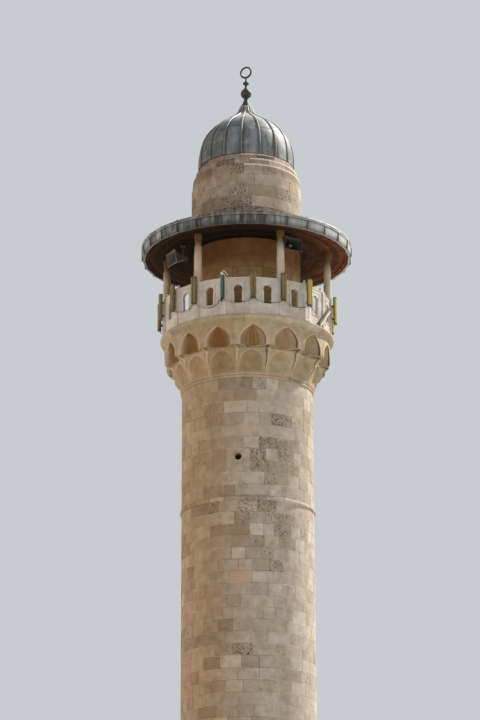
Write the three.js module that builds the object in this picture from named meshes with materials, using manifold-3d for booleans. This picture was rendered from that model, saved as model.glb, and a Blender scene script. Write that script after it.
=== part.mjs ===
// A round stone minaret: a square base, a plain ringed shaft, a corbelled gallery
// under a round lead-covered canopy, an upper drum, a ribbed lead dome and a finial.
// Millimetres, +Z up. The origin is under the middle of the base, and the side that
// faces -Y is the front. An angle is a bearing in degrees, 0 at the front and
// growing towards +X.
import * as THREE from 'three';
import { mergeVertices } from 'three/addons/utils/BufferGeometryUtils.js';
import Module from 'manifold-3d';

const wasm = await Module();
wasm.setup();

// Heights of the main levels
const GAP = 0.3; // joint between neighbouring pieces
const FLOOR_TOP = 150;
const BASE_TOP = 4200;
const TRANSITION_TOP = 5900;
const FOOT_TOP = 6150;
const COURSE_LOW = 15830;
const COURSE_HIGH = 15930;
const CORBEL_RING_LOW = 19050;
const LOWER_TIER_LOW = 19160;
const UPPER_TIER_LOW = 19800;
const CORNICE_LOW = 20390;
const GALLERY_LEVEL = 20560;
const PARAPET_TOP = 21580;
const FASCIA_LOW = 22835;
const SOFFIT_LOW = 22870; // at the rim, from where it rises to the wall
const SOFFIT_RISE = 100;
const SOFFIT_THICK = 80;
const FASCIA_HIGH = 23120;
const CORE_TOP = 23200;
const ROOF_HIGH = 23420;
const DRUM_TOP = 24750;
const DOME_LOW = 25410;
const DOME_TOP = 27280;

// Radii and widths
const WELL = 1050; // the stair well, which runs from the ground to the dome
const SHAFT = 1700;
const CORE = 1420; // wall of the gallery
const DRUM = 1460; // wall above the canopy
const CANOPY = 2800;
const CANOPY_RIM = 2720; // inner face of the canopy's upstand
const BASE_HALF = 2200;
const DOOR_HALF = 400;
const BASE_DOOR_TOP = 2050;
const GALLERY_DOOR_HALF = 350;
const GALLERY_DOOR_TOP = 22350;
const ROUND_WINDOW = 90;
const RING_STEPS = 48; // sides of a turned piece

// The parapet has a post every 20 degrees and an arched opening between posts
const BAY = 20;
const FIRST_POST = -10;
const BAYS_A_SECTION = 3;
const SECTIONS = 6;
const PANEL_FACE = 2185;
const PANEL_DEPTH = 70;
const POST_FACE = 2235;
const POST_BACK = 2020;
const POST_HALF = 82;
const COLUMN_CENTRE = 2135;

// The corbels are two tiers of niches, one above the other
const NICHES = 15;
const FIRST_NICHE = 9.5;

const material = (color, roughness, metalness = 0) =>
  new THREE.MeshStandardMaterial({ color, roughness, metalness });
const limestone = material(0xb3a48f, 0.9);
const corbelStone = material(0xa58a68, 0.9);
const parapetStone = material(0xb5ab98, 0.85);
const coreStone = material(0x8a6b49, 0.9);
const paving = material(0x9a8e7b, 0.9);
const timber = material(0x4a3122, 0.8);
const lead = material(0x70737a, 0.55, 0.6);
const bronze = material(0x5b564c, 0.5, 0.7);
const hornGrey = material(0x8d8578, 0.6);
const lampOlive = material(0x7d7442, 0.6);
const lampWhite = material(0xd8d2c4, 0.5);

const minaret = new THREE.Group();

function addPiece(name, geometry, finish) {
  const mesh = new THREE.Mesh(geometry, finish);
  mesh.name = name;
  minaret.add(mesh);
  return mesh;
}

// A solid for joining and cutting, and the geometry of such a solid
function solidOf(geometry) {
  const plain = geometry.clone();
  plain.deleteAttribute('normal');
  plain.deleteAttribute('uv');
  const merged = mergeVertices(plain, 0.001);
  return new wasm.Manifold(new wasm.Mesh({
    numProp: 3,
    vertProperties: new Float32Array(merged.attributes.position.array),
    triVerts: new Uint32Array(merged.index.array),
  }));
}

function geometryOf(solid) {
  const mesh = solid.getMesh();
  const geometry = new THREE.BufferGeometry();
  geometry.setAttribute('position', new THREE.BufferAttribute(mesh.vertProperties, 3));
  geometry.setIndex(new THREE.BufferAttribute(mesh.triVerts, 1));
  return geometry;
}

const joined = (solids) => solids.reduce((whole, next) => whole.add(next));
const turnTo = (geometry, bearing) => geometry.rotateZ(THREE.MathUtils.degToRad(bearing));

// Points of a plan, where x and y are the ground directions
function planPoint(radius, bearing) {
  const angle = THREE.MathUtils.degToRad(bearing);
  return new THREE.Vector2(radius * Math.sin(angle), -radius * Math.cos(angle));
}

// The part of a turned piece's plan between two bearings, with the same flat sides
function planArc(radius, from, to) {
  const side = 360 / RING_STEPS;
  const onSide = (bearing) => {
    const middle = (Math.floor(bearing / side) + 0.5) * side;
    const cosine = (degrees) => Math.cos(THREE.MathUtils.degToRad(degrees));
    return planPoint(radius * cosine(side / 2) / cosine(bearing - middle), bearing);
  };
  const [low, high] = [Math.min(from, to), Math.max(from, to)];
  const points = [onSide(low)];
  for (let i = Math.floor(low / side) + 1; i * side < high; i++) points.push(planPoint(radius, i * side));
  points.push(onSide(high));
  return from < to ? points : points.reverse();
}

function wholePlan(radius) {
  const points = [];
  for (let i = 0; i < RING_STEPS; i++) points.push(planPoint(radius, i * 360 / RING_STEPS));
  return points;
}

function upright(points, low, high) {
  const options = { depth: high - low, bevelEnabled: false };
  return new THREE.ExtrudeGeometry(new THREE.Shape(points), options).translate(0, 0, low);
}

// A profile of [radius, height] pairs turned about the tower's axis, counter-clockwise
function turned(profile, steps = RING_STEPS) {
  const closes = profile[0][0] > 0;
  const points = profile.map(([radius, height]) => new THREE.Vector2(radius, height));
  if (closes) points.push(points[0].clone());
  return new THREE.LatheGeometry(points, steps).rotateX(Math.PI / 2);
}

const ringWall = (inner, outer, low, high) =>
  turned([[inner, low], [outer, low], [outer, high], [inner, high]]);

// The soffit's underside at a radius, measured at the middle of one of its flat sides
function soffitAt(radius) {
  const corner = radius / Math.cos(Math.PI / RING_STEPS);
  return SOFFIT_LOW + SOFFIT_RISE * (CANOPY_RIM - corner) / (CANOPY_RIM - CORE);
}

// An outline that faces the front at a distance from the axis, with its depth
// running outwards from there
function facing(shape, depth, distance) {
  return new THREE.ExtrudeGeometry(shape, { depth, bevelEnabled: false, curveSegments: 5 })
    .rotateX(Math.PI / 2)
    .translate(0, -distance, 0);
}

function block(width, depth, low, high, distance, bearing = 0) {
  const box = new THREE.BoxGeometry(width, depth, high - low);
  return turnTo(box.translate(0, -distance - depth / 2, (low + high) / 2), bearing);
}

// The square base stands round the well, with its doorway at the back
function buildBase() {
  const middleGap = GAP / 2;
  const doorBearing = 180 - THREE.MathUtils.radToDeg(Math.asin((DOOR_HALF + GAP) / WELL));
  const wellFloor = solidOf(upright(wholePlan(WELL - GAP), 0, FLOOR_TOP));
  const passageStart = 600; // inside the well, so that the two floors join
  const passage = solidOf(block(2 * DOOR_HALF, BASE_HALF - passageStart, 0, FLOOR_TOP,
    passageStart, 180));
  addPiece('ground_floor', geometryOf(wellFloor.add(passage)), paving);
  for (const [side, sign] of [['left', -1], ['right', 1]]) {
    const front = [
      new THREE.Vector2(sign * middleGap, -BASE_HALF),
      new THREE.Vector2(sign * BASE_HALF, -BASE_HALF),
      new THREE.Vector2(sign * BASE_HALF, -middleGap),
      ...planArc(WELL, sign * 89.98, sign * 0.01),
    ];
    addPiece(`base_front_${side}`, upright(front, 0, BASE_TOP), limestone);
    const back = [
      new THREE.Vector2(sign * BASE_HALF, middleGap),
      new THREE.Vector2(sign * BASE_HALF, BASE_HALF),
      new THREE.Vector2(sign * (DOOR_HALF + GAP), BASE_HALF),
      ...planArc(WELL, sign * doorBearing, sign * 90.02),
    ];
    addPiece(`base_back_${side}`, upright(back, 0, BASE_TOP), limestone);
  }
  const overDoor = [
    new THREE.Vector2(DOOR_HALF, BASE_HALF),
    new THREE.Vector2(-DOOR_HALF, BASE_HALF),
    ...planArc(WELL, 360 - doorBearing, doorBearing),
  ];
  addPiece('base_door_lintel', upright(overDoor, BASE_DOOR_TOP, BASE_TOP), limestone);
}

// Above the base, triangles cut the corners off the square until it is eight-sided
function buildTransition() {
  const topHalf = 1850;
  const topCorner = topHalf * Math.tan(Math.PI / 8);
  const bottom = [[1, 1], [-1, 1], [-1, -1], [1, -1]];
  const low = BASE_TOP + GAP;
  const vertices = [];
  for (const [x, y] of bottom) vertices.push(x * BASE_HALF, y * BASE_HALF, low);
  for (const [x, y] of bottom) {
    const [a, b] = [[x * topHalf, y * topCorner], [x * topCorner, y * topHalf]];
    const inOrder = x * y > 0 ? [a, b] : [b, a];
    for (const [px, py] of inOrder) vertices.push(px, py, TRANSITION_TOP);
  }
  const faces = [0, 2, 1, 0, 3, 2];
  for (let i = 0; i < 4; i++) {
    const next = (i + 1) % 4;
    const [cornerA, cornerB, nextA] = [4 + 2 * i, 5 + 2 * i, 4 + 2 * next];
    faces.push(i, cornerB, cornerA, i, next, nextA, i, nextA, cornerB);
  }
  for (let i = 5; i < 11; i++) faces.push(4, i, i + 1);
  const outer = new THREE.BufferGeometry();
  outer.setAttribute('position', new THREE.BufferAttribute(new Float32Array(vertices), 3));
  outer.setIndex(faces);
  const wellCut = 2 * BASE_TOP; // taller than the transition
  const well = new THREE.CylinderGeometry(WELL, WELL, wellCut, RING_STEPS)
    .rotateX(Math.PI / 2)
    .translate(0, 0, TRANSITION_TOP);
  addPiece('base_transition', geometryOf(solidOf(outer).subtract(solidOf(well))), limestone);
  const foot = TRANSITION_TOP + GAP;
  addPiece('shaft_foot', turned([[WELL, foot], [1840, foot], [1840, 6020], [1800, 6060],
    [1760, FOOT_TOP], [WELL, FOOT_TOP]]), limestone);
}

// The shaft is a thick wall, pierced by small round windows front and back
function buildShaft() {
  const windowX = -65;
  const windows = { top: 16960, low: 8900, back: 12900 };
  const boreLength = 2 * (SHAFT - WELL);
  const bore = (side, height) => {
    const hole = new THREE.CylinderGeometry(ROUND_WINDOW, ROUND_WINDOW, boreLength, 16);
    return solidOf(hole.translate(windowX, side * (SHAFT + WELL) / 2, height));
  };
  const lower = solidOf(ringWall(WELL, SHAFT, FOOT_TOP + GAP, COURSE_LOW));
  const upper = solidOf(ringWall(WELL, SHAFT, COURSE_HIGH + GAP, CORBEL_RING_LOW));
  const pierced = lower.subtract(bore(-1, windows.low)).subtract(bore(1, windows.back));
  addPiece('shaft_lower', geometryOf(pierced), limestone);
  const course = COURSE_LOW + GAP;
  addPiece('string_course', turned([[WELL, course], [1715, course], [1738, 15860],
    [1738, COURSE_HIGH], [WELL, COURSE_HIGH]]), limestone);
  addPiece('shaft_upper', geometryOf(upper.subtract(bore(-1, windows.top))), limestone);
}

// One niche: an arched outline cut back to a hollow like part of an egg
function nicheCutter(outline, hollow, low, face) {
  const prism = solidOf(facing(outline, 500, face - hollow.depth - 50).translate(0, 0, low));
  const egg = new THREE.SphereGeometry(1, 8, 6)
    .scale(hollow.half, hollow.depth, hollow.height)
    .translate(0, -face, low);
  const before = solidOf(block(hollow.half * 2, 600, low - 50, low + hollow.height, face));
  return prism.intersect(solidOf(egg).add(before));
}

function pointedArch(half, spring, apex) {
  const outline = new THREE.Shape();
  const shoulder = spring + (apex - spring) * 0.62;
  outline.moveTo(-half, -20);
  outline.lineTo(half, -20);
  outline.lineTo(half, spring);
  outline.quadraticCurveTo(half * 0.88, shoulder, 0, apex);
  outline.quadraticCurveTo(-half * 0.88, shoulder, -half, spring);
  return outline;
}

function roundArch(half, apex) {
  const outline = new THREE.Shape();
  outline.moveTo(-half, -20);
  outline.lineTo(half, -20);
  outline.lineTo(half, apex - half);
  outline.absarc(0, apex - half, half, 0, Math.PI, false);
  return outline;
}

function buildCorbels() {
  const pitch = 360 / NICHES;
  const steps = NICHES * 3;
  const ring = CORBEL_RING_LOW + GAP;
  addPiece('corbel_ring', turned([[WELL, ring], [1715, ring], [1735, 19085],
    [1715, 19110], [1745, LOWER_TIER_LOW], [WELL, LOWER_TIER_LOW]], steps),
  corbelStone);
  const low = LOWER_TIER_LOW + GAP;
  const sill = UPPER_TIER_LOW;
  let lower = solidOf(turned([[WELL, low], [1752, low], [1790, 19300], [1920, 19440],
    [1975, 19690], [2065, 19730], [2130, sill], [WELL, sill]], steps));
  let upper = solidOf(turned([[WELL, sill + GAP], [2135, sill + GAP], [2170, 19860],
    [2170, CORNICE_LOW], [WELL, CORNICE_LOW]], steps));
  const lowerNiche = nicheCutter(roundArch(300, 470), { half: 340, depth: 225, height: 540 }, low, 1980);
  const upperNiche = nicheCutter(pointedArch(350, 150, 495),
    { half: 385, depth: 220, height: 560 }, sill, 2170);
  const scallop = solidOf(new THREE.CylinderGeometry(1, 1, 2 * 240, 10).rotateX(Math.PI / 2)
    .scale(355, 235, 1).translate(0, -2165, sill));
  for (let i = 0; i < NICHES; i++) {
    const bearing = FIRST_NICHE + pitch * i;
    lower = lower.subtract(lowerNiche.rotate([0, 0, bearing])).subtract(scallop.rotate([0, 0, bearing]));
    upper = upper.subtract(upperNiche.rotate([0, 0, bearing]));
  }
  addPiece('corbel_lower_tier', geometryOf(lower), corbelStone);
  addPiece('corbel_upper_tier', geometryOf(upper), corbelStone);
}

// The cornice carries the parapet, and the gallery's paving lies inside it
function buildGalleryFloor() {
  const inner = 1900;
  const low = CORNICE_LOW + GAP;
  addPiece('cornice', turned([[inner, low], [2180, low], [2205, 20450],
    [2280, 20500], [2280, GALLERY_LEVEL], [inner, GALLERY_LEVEL]]), corbelStone);
  addPiece('gallery_floor', ringWall(WELL, inner - GAP, low, GALLERY_LEVEL), paving);
}

// A panel of the parapet, with a horseshoe-headed opening
function panelShape() {
  const half = 385;
  const opening = { half: 100, sill: 20880, head: 115, centre: 21265 };
  const shape = new THREE.Shape([
    new THREE.Vector2(-half, GALLERY_LEVEL + GAP),
    new THREE.Vector2(half, GALLERY_LEVEL + GAP),
    new THREE.Vector2(half, PARAPET_TOP - 30),
    new THREE.Vector2(-half, PARAPET_TOP - 30),
  ]);
  const turn = Math.acos(opening.half / opening.head);
  const hole = new THREE.Path();
  hole.moveTo(-opening.half, opening.sill);
  hole.lineTo(opening.half, opening.sill);
  hole.absarc(0, opening.centre, opening.head, -turn, Math.PI + turn, false);
  shape.holes.push(hole);
  return shape;
}

function post(bearing, extra = 0) {
  const depth = POST_FACE - POST_BACK + 2 * extra;
  const low = GALLERY_LEVEL + GAP - extra;
  return solidOf(block(2 * (POST_HALF + extra), depth, low, PARAPET_TOP + extra,
    POST_BACK - extra, bearing));
}

function postCap(bearing) {
  const cap = new THREE.CylinderGeometry(25, 105, 110, 4, 1, false, Math.PI / 4)
    .rotateX(Math.PI / 2)
    .translate(0, -(POST_BACK + POST_FACE) / 2, PARAPET_TOP + 45);
  return solidOf(turnTo(cap, bearing));
}

// Each section of the parapet has three panels, and its middle post carries a column
function buildParapet() {
  const panel = facing(panelShape(), PANEL_DEPTH, PANEL_FACE - PANEL_DEPTH);
  for (let section = 0; section < SECTIONS; section++) {
    const start = section * BAY * BAYS_A_SECTION;
    const pieces = [];
    for (let bay = 0; bay < BAYS_A_SECTION; bay++) {
      const bearing = start + bay * BAY;
      pieces.push(solidOf(turnTo(panel.clone(), bearing)), post(bearing + FIRST_POST));
      const carriesColumn = bay === BAYS_A_SECTION - 1;
      if (!carriesColumn) pieces.push(postCap(bearing + FIRST_POST));
    }
    const nextPost = start + BAY * BAYS_A_SECTION + FIRST_POST;
    const whole = joined(pieces).subtract(post(nextPost, GAP));
    addPiece(`parapet_section_${section + 1}`, geometryOf(whole), parapetStone);
    addPiece(`column_${section + 1}`, columnAt(start + 2 * BAY + FIRST_POST), parapetStone);
  }
}

// A stone column with a flared foot and a capital that widens gently to the soffit
function columnAt(bearing) {
  const [shaft, capital] = [84, 104];
  const low = PARAPET_TOP + GAP;
  const high = soffitAt(COLUMN_CENTRE + capital) - GAP;
  const profile = [[0, low], [100, low], [100, low + 60], [shaft, low + 220],
    [shaft, high - 350], [capital, high - 60], [capital, high], [0, high]];
  const column = turned(profile, 10).translate(0, -COLUMN_CENTRE, 0);
  return turnTo(column, bearing);
}

// The wall inside the gallery, with a doorway at the back
function buildGalleryWall() {
  const low = GALLERY_LEVEL + GAP;
  const half = GALLERY_DOOR_HALF + GAP;
  const bearingAt = (radius, x) => 180 - THREE.MathUtils.radToDeg(Math.asin(x / radius));
  for (const [side, sign] of [['left', -1], ['right', 1]]) {
    const wall = [
      ...planArc(CORE, sign * 0.01, sign * bearingAt(CORE, half)),
      ...planArc(WELL, sign * bearingAt(WELL, half), sign * 0.01),
    ];
    addPiece(`gallery_wall_${side}`, upright(wall, low, CORE_TOP), coreStone);
  }
  const outer = bearingAt(CORE, GALLERY_DOOR_HALF);
  const inner = bearingAt(WELL, GALLERY_DOOR_HALF);
  const overDoor = [...planArc(CORE, outer, 360 - outer), ...planArc(WELL, 360 - inner, inner)];
  addPiece('gallery_door_lintel', upright(overDoor, GALLERY_DOOR_TOP, CORE_TOP), coreStone);
}

// The canopy: a boarded timber soffit that rises to the wall, an upstand round its
// edge and a low lead roof
function buildCanopy() {
  const [inner, outer] = [CORE + GAP, CANOPY_RIM - GAP];
  const top = SOFFIT_LOW + SOFFIT_THICK;
  addPiece('canopy_soffit', turned([[inner, SOFFIT_LOW + SOFFIT_RISE], [outer, SOFFIT_LOW],
    [outer, top], [inner, top + SOFFIT_RISE]]), timber);
  addPiece('canopy_fascia', ringWall(CANOPY_RIM, CANOPY - 5, FASCIA_LOW, FASCIA_HIGH), lead);
  const eaves = FASCIA_HIGH + GAP;
  addPiece('canopy_roof', turned([[DRUM + GAP, ROOF_HIGH - 60], [CANOPY_RIM, eaves], [CANOPY, eaves],
    [CANOPY, eaves + 30], [DRUM + GAP, ROOF_HIGH]]), lead);
}

function buildDrum() {
  addPiece('upper_drum', ringWall(WELL, DRUM, CORE_TOP + GAP, DRUM_TOP), limestone);
  const low = DRUM_TOP + GAP;
  const high = DOME_LOW - GAP;
  addPiece('drum_shoulder', turned([[WELL, low], [DRUM, low], [1400, 25050],
    [1325, 25240], [1240, high], [WELL, high]]), limestone);
}

// The dome is a shell with a standing seam on every third meridian
function buildDome() {
  const seams = 16;
  const steps = seams * 3;
  const seamHeight = 24;
  const outer = new THREE.SplineCurve([[1278, DOME_LOW], [1263, 25800], [1160, 26200],
    [865, 26600], [446, 26950], [153, DOME_TOP]].map((pair) => new THREE.Vector2(...pair)));
  const inner = new THREE.SplineCurve([[0, 26780], [420, 26640], [850, 26320], [1050, 25950],
    [1130, DOME_LOW]].map((pair) => new THREE.Vector2(...pair)));
  const innerPoints = 5;
  const profile = [...inner.getPoints(innerPoints - 1), ...outer.getPoints(8)];
  profile.push(new THREE.Vector2(0, DOME_TOP));
  const shell = new THREE.LatheGeometry(profile, steps);
  const place = shell.attributes.position;
  for (let i = 0; i <= steps; i += 3) {
    for (let j = innerPoints; j < profile.length - 2; j++) {
      const index = i * profile.length + j;
      const scale = 1 + seamHeight / profile[j].x;
      place.setXYZ(index, place.getX(index) * scale, place.getY(index), place.getZ(index) * scale);
    }
  }
  addPiece('dome', shell.rotateX(Math.PI / 2), lead);
}

// The finial: a cone, a large ball, a small flattened ball and a thin stem
function buildFinial() {
  const low = DOME_TOP + GAP;
  const ball = (centre, radius, halfHeight, from, to, steps) => {
    const points = [];
    for (let i = 0; i <= steps; i++) {
      const angle = THREE.MathUtils.degToRad(from + (to - from) * i / steps);
      points.push([radius * Math.cos(angle), centre + halfHeight * Math.sin(angle)]);
    }
    return points;
  };
  const ring = { centre: 28327, radius: 153, section: 23, turn: -18 };
  const stemTop = ring.centre - ring.radius - ring.section - GAP;
  const profile = [[0, low], [150, low], [105, 27340], [62, 27440], [48, 27530],
    ...ball(27690, 145, 145, -70, 75, 6), [34, 27880],
    ...ball(28010, 85, 70, -65, 65, 4), [22, 28100], [22, stemTop], [0, stemTop]];
  addPiece('finial', turned(profile, 12), bronze);
  const crescent = new THREE.TorusGeometry(ring.radius, ring.section, 6, 24);
  addPiece('finial_ring', crescent.rotateX(Math.PI / 2)
    .rotateZ(THREE.MathUtils.degToRad(ring.turn)).translate(0, 0, ring.centre), bronze);
}

// A horn loudspeaker hung from the soffit, its mouth turned outwards
function hornAt(bearing) {
  const mouth = { half: 272, tall: 176, length: 360 };
  const throat = 0.34;
  const frustum = (shrink, length, from) => new THREE.CylinderGeometry(Math.SQRT2, Math.SQRT2 * throat,
    length, 4, 1, false, Math.PI / 4)
    .scale(mouth.half * shrink, 1, mouth.tall * shrink)
    .translate(0, length / 2 + from, 0)
    .rotateZ(Math.PI);
  const centre = 22580;
  const back = 1880;
  const strapDepth = 30;
  const strapLength = soffitAt(back + strapDepth) - GAP - centre;
  const outer = solidOf(frustum(1, mouth.length, 0));
  const hollow = solidOf(frustum(0.93, mouth.length - 30, 40));
  const driver = solidOf(new THREE.CylinderGeometry(75, 75, 130, 12).translate(0, 55, 0));
  const strap = solidOf(new THREE.BoxGeometry(50, strapDepth, strapLength)
    .translate(0, -strapDepth / 2, strapLength / 2));
  const horn = outer.subtract(hollow).add(driver).add(strap);
  const place = planPoint(back, bearing);
  return geometryOf(horn.rotate([0, 0, bearing]).translate([place.x, place.y, centre]));
}

function buildHorns() {
  const bearings = { front_left: -56, front_right: 38.6, back: 162 };
  for (const [side, bearing] of Object.entries(bearings)) {
    addPiece(`loudspeaker_${side}`, hornAt(bearing), hornGrey);
  }
}

// Tube lamps stand off the posts, and their wiring hangs in short loops between them
const LAMP = { distance: 2285, depth: 94, half: 62, low: 20960, high: 21690 };

function lampAt(bearing) {
  const shape = new THREE.Shape();
  const inset = 22;
  const { half, low, high } = LAMP;
  shape.moveTo(-half + inset, low);
  shape.lineTo(half - inset, low);
  shape.lineTo(half, low + inset);
  shape.lineTo(half, high - inset);
  shape.lineTo(half - inset, high);
  shape.lineTo(-half + inset, high);
  shape.lineTo(-half, high - inset);
  shape.lineTo(-half, low + inset);
  const body = facing(shape, LAMP.depth, LAMP.distance);
  const reach = LAMP.distance - POST_FACE + 10;
  const stub = (height) => block(40, reach, height, height + 50, POST_FACE + GAP);
  return joined([body, stub(21080), stub(21440)].map((part) => solidOf(part)))
    .rotate([0, 0, bearing]);
}

function wireBetween(from, to) {
  const lampFoot = (bearing) => planPoint(LAMP.distance + 30, bearing);
  const [a, b] = [lampFoot(from), lampFoot(to)];
  const middle = planPoint(2225, (from + to) / 2);
  const curve = new THREE.QuadraticBezierCurve3(
    new THREE.Vector3(a.x, a.y, LAMP.low + 20),
    new THREE.Vector3(middle.x, middle.y, 20700),
    new THREE.Vector3(b.x, b.y, LAMP.low + 20),
  );
  const section = new THREE.Shape(new THREE.EllipseCurve(0, 0, 9, 9).getPoints(4).slice(0, 4));
  const options = { steps: 6, bevelEnabled: false, extrudePath: curve };
  return solidOf(new THREE.ExtrudeGeometry(section, options));
}

function buildLamps() {
  const strings = { front: -50, right: 90, left: -170 };
  const lampCount = { front: 6, right: 5, left: 6 };
  for (const [side, start] of Object.entries(strings)) {
    const pieces = [];
    for (let i = 0; i < lampCount[side]; i++) {
      pieces.push(lampAt(start + i * BAY));
      if (i > 0) pieces.push(wireBetween(start + (i - 1) * BAY, start + i * BAY));
    }
    addPiece(`lamp_string_${side}`, geometryOf(joined(pieces)), lampOlive);
  }
}

// One lamp has come off its post and leans there, its foot on the cornice
function buildFallenLamp() {
  const radius = 32;
  const foot = planPoint(2263, 61.7);
  const head = planPoint(2306, 74);
  const low = new THREE.Vector3(foot.x, foot.y, GALLERY_LEVEL);
  const high = new THREE.Vector3(head.x, head.y, 21120);
  const along = high.clone().sub(low);
  const turn = new THREE.Quaternion()
    .setFromUnitVectors(new THREE.Vector3(0, 1, 0), along.clone().normalize());
  const tube = new THREE.CylinderGeometry(radius, radius, along.length(), 10)
    .translate(0, along.length() / 2, 0)
    .applyQuaternion(turn)
    .translate(...low.toArray());
  tube.computeBoundingBox();
  tube.translate(0, 0, GALLERY_LEVEL + GAP - tube.boundingBox.min.z);
  addPiece('fallen_lamp', tube, lampWhite);
}

buildBase();
buildTransition();
buildShaft();
buildCorbels();
buildGalleryFloor();
buildParapet();
buildGalleryWall();
buildCanopy();
buildDrum();
buildDome();
buildFinial();
buildHorns();
buildLamps();
buildFallenLamp();

export default minaret;
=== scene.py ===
import math
import random

import bmesh
import bpy
from mathutils import Matrix, Vector


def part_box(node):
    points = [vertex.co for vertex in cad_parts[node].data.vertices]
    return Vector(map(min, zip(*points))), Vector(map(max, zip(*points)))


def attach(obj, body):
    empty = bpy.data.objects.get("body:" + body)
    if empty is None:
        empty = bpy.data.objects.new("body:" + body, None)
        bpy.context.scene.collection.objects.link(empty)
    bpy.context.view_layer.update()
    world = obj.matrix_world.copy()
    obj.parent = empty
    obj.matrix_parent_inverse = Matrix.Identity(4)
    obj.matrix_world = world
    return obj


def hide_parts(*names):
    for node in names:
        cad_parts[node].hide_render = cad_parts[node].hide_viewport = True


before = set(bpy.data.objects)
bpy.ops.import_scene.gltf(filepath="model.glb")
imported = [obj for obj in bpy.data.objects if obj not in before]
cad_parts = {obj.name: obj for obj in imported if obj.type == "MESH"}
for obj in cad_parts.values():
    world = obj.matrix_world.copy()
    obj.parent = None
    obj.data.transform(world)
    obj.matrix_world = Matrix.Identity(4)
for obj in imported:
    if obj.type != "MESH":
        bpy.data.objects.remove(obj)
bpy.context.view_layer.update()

# Looks of a round limestone minaret. Metres, +Z up, and a bearing is in degrees from the
# front, which faces -Y, growing towards +X.
scene = bpy.context.scene


def linearColour(hexText):
    channels = [int(hexText[i:i + 2], 16) / 255 for i in (1, 3, 5)]
    linear = [c / 12.92 if c <= 0.04045 else ((c + 0.055) / 1.055) ** 2.4 for c in channels]
    return linear + [1.0]


def addNode(tree, kind, settings=None, links=None):
    # settings are a node's properties or its inputs' values; a colour is given in hex, stops are
    # a ramp's places and colours, and span is what a Map Range reads from and maps to
    node = tree.nodes.new(kind)
    for name, value in (settings or {}).items():
        if name == "stops":
            elements = node.color_ramp.elements
            elements.remove(elements[1])
            for i, (place, colour) in enumerate(value):
                element = elements.new(place) if i else elements[0]
                element.position = place
                element.color = linearColour(colour)
        elif name == "span":
            for socket, number in zip(node.inputs[1:], value):
                socket.default_value = number
        elif isinstance(name, str) and name in node.bl_rna.properties:
            setattr(node, name, value)
        else:
            node.inputs[name].default_value = linearColour(value) if str(value).startswith("#") else value
    for name, source in (links or {}).items():
        output = source.outputs[0] if isinstance(source, bpy.types.Node) else source
        tree.links.new(output, node.inputs[name])
    return node


def onCircle(radius, bearing, height):
    angle = math.radians(bearing)
    return Vector((radius * math.sin(angle), -radius * math.cos(angle), height))


def between(value, table):
    # straight-line reading of a table of (place, value) pairs
    if value <= table[0][0]:
        return table[0][1]
    for (a, low), (b, high) in zip(table, table[1:]):
        if value <= b:
            return low + (high - low) * (value - a) / (b - a)
    return table[-1][1]


def smoothPath(points, steps):
    # a Catmull-Rom curve through the points
    path = []
    for i in range(len(points) - 1):
        a = Vector(points[max(i - 1, 0)])
        b = Vector(points[i])
        c = Vector(points[i + 1])
        d = Vector(points[min(i + 2, len(points) - 1)])
        for k in range(steps):
            t = k / steps
            path.append(0.5 * (2 * b + (c - a) * t + (2 * a - 5 * b + 4 * c - d) * t * t
                               + (3 * b - a - 3 * c + d) * t ** 3))
    path.append(Vector(points[-1]))
    return path


def oblong(half, low, high, topHalf=None):
    # the corners of an oblong, counter-clockwise from its lower left
    top = half if topHalf is None else topHalf
    return [(-half, low), (half, low), (top, high), (-top, high)]


def skin(rows, wide, closed=True, looped=False, capped=False):
    # the faces over rows of points: closed joins the ends of each row, looped joins the last
    # row to the first, and capped fills the first and the last row
    faces = [(j * wide + i, j * wide + (i + 1) % wide, (j + 1) % rows * wide + (i + 1) % wide,
              (j + 1) % rows * wide + i)
             for j in range(rows if looped else rows - 1) for i in range(wide if closed else wide - 1)]
    ends = [list(range(wide)), [(rows - 1) * wide + i for i in reversed(range(wide))]]
    return faces + ends if capped else faces


def heights(node):
    return [corner.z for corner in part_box(node)]


def newMesh(name, points, edges=(), faces=()):
    mesh = bpy.data.meshes.new(name)
    mesh.from_pydata(points, edges, faces)
    return mesh


def setField(mesh, name, values, kind="FLOAT"):
    place = "value" if kind == "FLOAT" else "vector"
    mesh.attributes.new(name, kind, "POINT").data.foreach_set(place, values)


class Stock:
    # the solids of one piece, with numbers that its material reads

    def __init__(self, *fields):
        self.points = []
        self.faces = []
        self.fields = {field: [] for field in fields}

    def add(self, points, faces, **values):
        start = len(self.points)
        self.points.extend(points)
        self.faces.extend([start + i for i in face] for face in faces)
        for field, stored in self.fields.items():
            value = values.get(field, 0.0)
            stored.extend(value if isinstance(value, list) else [value] * len(points))

    def addRows(self, rows, closed=True, looped=False, capped=False, **values):
        faces = skin(len(rows), len(rows[0]), closed, looped, capped)
        self.add([point for row in rows for point in row], faces, **values)

    def addCells(self, rows, closed=True):
        # rows of cells: a cell is a point with its fields' values behind it
        cells = [cell for row in rows for cell in row]
        values = {field: [cell[i + 1] if len(cell) > i + 1 else 0.0 for cell in cells]
                  for i, field in enumerate(self.fields)}
        self.addRows([[cell[0] for cell in row] for row in rows], closed, **values)

    def build(self, name, material=None, sharp=30, weld=0.0):
        mesh = newMesh(name, [tuple(p) for p in self.points], faces=self.faces)
        for field, stored in self.fields.items():
            setField(mesh, field, stored)
        tidyMesh(mesh, sharp, weld)
        if material:
            mesh.materials.append(material)
        return newObject(name, mesh)


def tidyMesh(mesh, sharp, weld=0.0):
    work = bmesh.new()
    work.from_mesh(mesh)
    if weld:
        bmesh.ops.remove_doubles(work, verts=work.verts, dist=weld)
        bmesh.ops.dissolve_degenerate(work, dist=weld / 2, edges=work.edges)
    bmesh.ops.recalc_face_normals(work, faces=work.faces)
    work.to_mesh(mesh)
    work.free()
    mesh.polygons.foreach_set("use_smooth", [True] * len(mesh.polygons))
    mesh.set_sharp_from_angle(angle=math.radians(sharp))


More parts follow.
